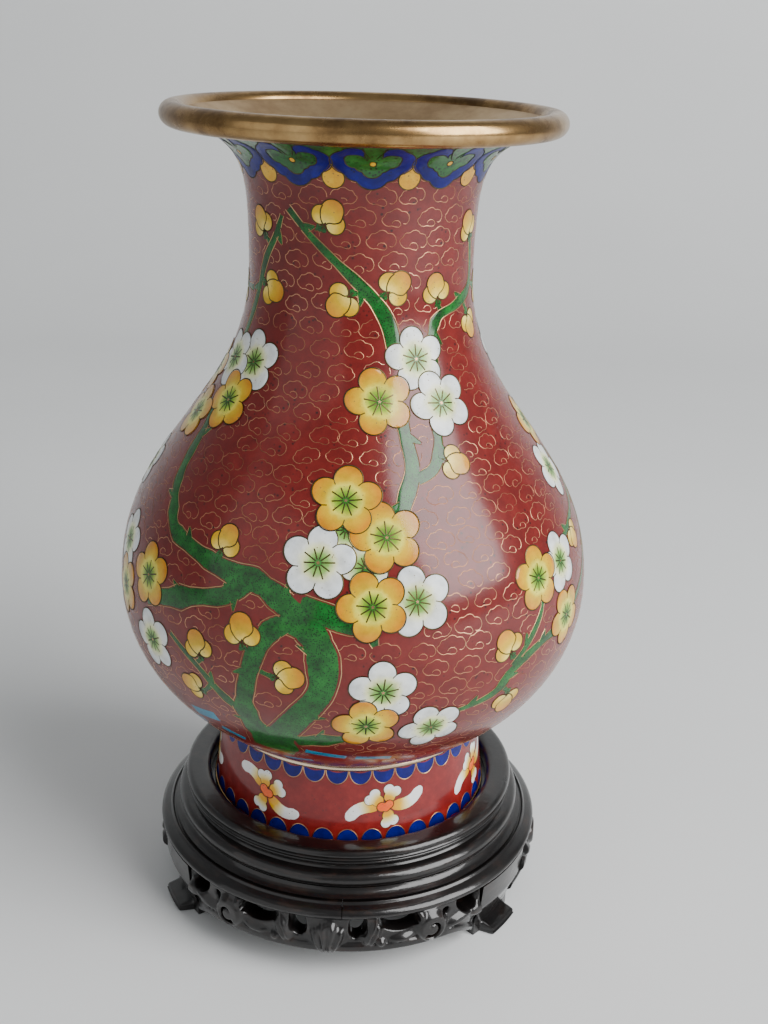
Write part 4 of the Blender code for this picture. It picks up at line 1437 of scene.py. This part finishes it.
CLOUD_PITCH_ACROSS = 9.8
CLOUD_PITCH_UP = 6.3
CLOUD_STEPS = 31
LOWEST_CLOUDS = 33.0
HIGHEST_CLOUDS = 215.0
CLOUD_GAP = 0.55
LEAST_SHARE = 0.35
TURNED_CLOUDS = 0.12
CLOUD = (
    (-1.1, -1.25), (-0.5, -0.55), (0.8, -0.65), (1.5, -1.7), (0.7, -2.45), (-1.1, -1.95), (-2.5, -2.0),
    (-3.7, -1.0), (-4.0, 0.1), (-3.2, 0.8), (-2.7, 1.8), (-1.4, 2.0), (-0.6, 2.6), (0.7, 2.7),
    (1.7, 1.9), (2.9, 1.8), (3.8, 0.7), (3.9, -0.6), (3.1, -1.6), (2.2, -1.5),
)
cloud_wire = mottled_metal(
    "cloud_wire", (0.76, 0.45, 0.26), (0.52, 0.25, 0.13), (0.22, 0.08, 0.045), 0.38, 6.0
)
cloud_line = smooth_path(CLOUD, CLOUD_STEPS)
first_row = BODY.length_at(vase_base + LOWEST_CLOUDS)
cloud_rows = np.arange(first_row, BODY.length_at(vase_base + HIGHEST_CLOUDS), CLOUD_PITCH_UP)
cloud_places = []
for number, row in enumerate(cloud_rows):
    count = int(2 * np.pi * BODY.radius_at(row) / CLOUD_PITCH_ACROSS)
    azimuth = (np.arange(count) + 0.5 * (number % 2)) * 2 * np.pi / count
    cloud_places.append(np.column_stack([azimuth, np.full(count, row)]))
cloud_places = np.vstack(cloud_places)
cloud_count = len(cloud_places)
cloud_places[:, 0] += random.normal(0.0, 0.5, cloud_count) / BODY.radius_at(cloud_places[:, 1])
cloud_places[:, 1] += random.normal(0.0, 0.35, cloud_count)
cloud_size = random.uniform(0.96, 1.16, (cloud_count, 1, 1)) * np.where(
    random.random((cloud_count, 1, 1)) < TURNED_CLOUDS, (-1.0, 1.0), (1.0, 1.0)
)
cloud_local = turned_by(cloud_line * cloud_size, random.normal(0.0, 0.10, (cloud_count, 1)))
cloud_across, cloud_up = spread(BODY, cloud_places[:, 0], cloud_places[:, 1], cloud_local)
rock_discs = np.column_stack([rock_azimuth, rock_along, 0.9 * rock_shape[:, 0]])
all_motifs = np.vstack([all_wood, flower_discs, rock_discs])
cloud_keep = clearance(cloud_across, cloud_up, all_motifs)[:, 1:] > CLOUD_GAP
cloud_keep[cloud_keep.mean(axis=1) < LEAST_SHARE] = False
cloud_wires = add_laid("cloud_wires", [
    wire(BODY, cloud_across, cloud_up, keep=cloud_keep, width=0.20, lift=0.0, crown=0.035),
], cloud_wire)
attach(cloud_wires, "vase")


# ---- Cloud collar -------------------------------------------------------------------------
# Under the mouth hangs a collar of eleven blue cloud heads on a green band. Each has a green
# trefoil with an ochre dot inside, and an ochre half-disc shows between each two heads.

COLLAR_HEADS = 11
FIRST_HEAD = 3.6
HEAD_HEIGHT = 217.6
collar_green = enamel(
    "collar_green",
    [(0.30, (0.0015, 0.038, 0.003)), (0.5, (0.005, 0.098, 0.010)), (0.7, (0.020, 0.165, 0.028))],
    (0.0004, 0.007, 0.002), speck_size=1000.0, speck_edge=0.42, spread_from=0.38,
)
ochre = enamel(
    "ochre_enamel",
    [(0.3, (0.50, 0.20, 0.001)), (0.5, (0.68, 0.34, 0.002)), (0.7, (0.78, 0.48, 0.02))],
    (0.12, 0.06, 0.02), speck_size=900.0,
)
head_azimuth = np.radians(FIRST_HEAD) + np.arange(COLLAR_HEADS) * 2 * np.pi / COLLAR_HEADS
head_along = np.full(COLLAR_HEADS, BODY.length_at(vase_base + HEAD_HEIGHT))
collar_band = wall_piece(
    "collar_band", BODY, head_along[0] + 0.4, BODY.length - 0.2,
    outer_lift=0.03, inner_lift=-0.4, finish=collar_green, rows=24,
)
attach(collar_band, "vase")
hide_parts("collar_enamel")

head_outline = lobed([
    (0.0, -3.3, 5.1), (-4.2, -1.8, 4.2), (4.2, -1.8, 4.2), (-7.2, 1.2, 4.9), (7.2, 1.2, 4.9),
    (-5.8, 4.4, 3.5), (5.8, 4.4, 3.5),
], 96)
trefoil_outline = lobed([
    (0.0, -1.9, 3.0), (-2.5, -0.3, 2.7), (2.5, -0.3, 2.7), (-5.0, 1.2, 2.8), (5.0, 1.2, 2.8),
    (-6.2, 2.0, 1.8), (6.2, 2.0, 1.8), (0.0, 4.0, 2.6), (0.0, 7.4, 3.2),
], 96)
dot_outline = lobed([(0.0, 0.0, 0.95)], 24)
pendant_outline = lobed([(0.0, -0.6, 3.2), (0.0, 1.8, 1.5), (0.0, 3.2, 0.8)], 40)
pendant_azimuth = head_azimuth + np.pi / COLLAR_HEADS
pendant_along = head_along - 4.6

collar_layers = (
    ("collar_pendants", pendant_azimuth, pendant_along, pendant_outline, 0.06, ochre),
    ("collar_heads", head_azimuth, head_along, head_outline, 0.09, cobalt),
    ("collar_trefoils", head_azimuth, head_along, trefoil_outline, 0.12, collar_green),
    ("collar_dots", head_azimuth, head_along, dot_outline, 0.15, ochre),
)
collar_wire_parts = []
for name, azimuth, along, outline, lift, glass in collar_layers:
    place = (BODY, azimuth, along, copies(outline, COLLAR_HEADS))
    layer = add_laid(name, [cells(*place, lift=lift)], glass)
    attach(layer, "vase")
    collar_wire_parts.append(outline_wire(*place, lift=lift, width=0.34))
collar_wires = add_laid("collar_wires", collar_wire_parts, painted_shade_wire)
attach(collar_wires, "vase")
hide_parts("collar_wire")


# ---- Mouth ring ---------------------------------------------------------------------------
# A heavy rolled brass bead, soldered round the flare and left bare. Its brass has brown patina
# in clouds over brighter metal, with fine lines from turning and handling.

bead_turn = np.radians(np.linspace(0.0, 360.0, 48, endpoint=False))
bead_middle = mouth_radius - BEAD_RADIUS
bead_height = mouth_top - BEAD_RADIUS
bead_outline = (bead_middle, bead_height) + BEAD_RADIUS * unit(bead_turn)
mouth_ring = turned("mouth_ring_rolled", bead_outline, brass, 288)
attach(mouth_ring, "vase")
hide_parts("mouth_ring")


# ---- Floor, light and camera --------------------------------------------------------------
# A plain pale floor that curves up into a back wall, one broad soft light high at the right,
# a weaker one at the left, and an even pale surround.

pale = glossy("pale_floor", 0.6)
pale_stops = [(0.3, (0.70, 0.71, 0.71)), (0.7, (0.74, 0.75, 0.75))]
feed(pale, "Base Color", ramp(pale, grain(pale, 3.0), pale_stops))
floor_edge = 3000.0
wall_place = 1250.0
bend = np.radians(np.linspace(0.0, 90.0, 24))
bend_radius = 500.0
bend_depth = wall_place - bend_radius + bend_radius * np.sin(bend)
bend_height = bend_radius - bend_radius * np.cos(bend)
sweep_depth = np.concatenate([[-floor_edge], bend_depth, [wall_place]])
sweep_height = np.concatenate([[0.0], bend_height, [floor_edge]])
sweep_points = np.stack(np.broadcast_arrays(
    np.array([-floor_edge, floor_edge]), sweep_depth[:, None], sweep_height[:, None],
), axis=-1).reshape(-1, 3)
floor = add_piece("floor", sweep_points, grid_faces(len(sweep_depth), 2)[:, ::-1].tolist(), pale)

surround = bpy.data.worlds.new("surround")
surround.use_nodes = True
background = surround.node_tree.nodes["Background"]
background.inputs["Color"].default_value = (0.80, 0.82, 0.84, 1.0)
background.inputs["Strength"].default_value = 0.36
bpy.context.scene.world = surround


def aimed(thing, right, up, back, place):
    """Sets an object's place and its three directions, as the columns of its matrix."""
    turn_and_place = np.column_stack([right, up, back, place])
    thing.matrix_world = Matrix(np.vstack([turn_and_place, (0.0, 0.0, 0.0, 1.0)]).tolist())
    bpy.context.scene.collection.objects.link(thing)


def soft_light(name, place, target, width, height, power):
    """A rectangular light of a size in metres, turned so that it faces its target."""
    lamp = bpy.data.lights.new(name, "AREA")
    lamp.shape = "RECTANGLE"
    lamp.size = width
    lamp.size_y = height
    lamp.energy = power
    light = bpy.data.objects.new(name, lamp)
    direction = np.array(place, float) - np.array(target, float)
    back = direction / np.linalg.norm(direction)
    side = np.cross((0.0, 0.0, 1.0), back)
    side /= np.linalg.norm(side)
    aimed(light, side, np.cross(back, side), back, place)


soft_light("window_light", (1.05, -0.68, 0.95), (0.0, 0.0, 0.15), 1.1, 1.4, 46.0)
soft_light("fill_light", (-1.5, -1.5, 0.9), (0.0, 0.0, 0.15), 2.4, 2.0, 9.0)

CAMERA_PLACE = (0.0, -0.400, 0.2947)
CAMERA_YAW = np.radians(1.38)
CAMERA_PITCH = np.radians(21.42)
CAMERA_ROLL = np.radians(1.89)
forward = np.array([
    np.sin(CAMERA_YAW) * np.cos(CAMERA_PITCH),
    np.cos(CAMERA_YAW) * np.cos(CAMERA_PITCH),
    -np.sin(CAMERA_PITCH),
])
level = np.array([np.cos(CAMERA_YAW), -np.sin(CAMERA_YAW), 0.0])
upward = np.cross(level, forward)
camera_right = np.cos(CAMERA_ROLL) * level + np.sin(CAMERA_ROLL) * upward
camera_up = np.cos(CAMERA_ROLL) * upward - np.sin(CAMERA_ROLL) * level
lens = bpy.data.cameras.new("camera")
lens.lens = 45.07
lens.sensor_width = 36.0
camera = bpy.data.objects.new("camera", lens)
aimed(camera, camera_right, camera_up, -forward, CAMERA_PLACE)
bpy.context.scene.camera = camera
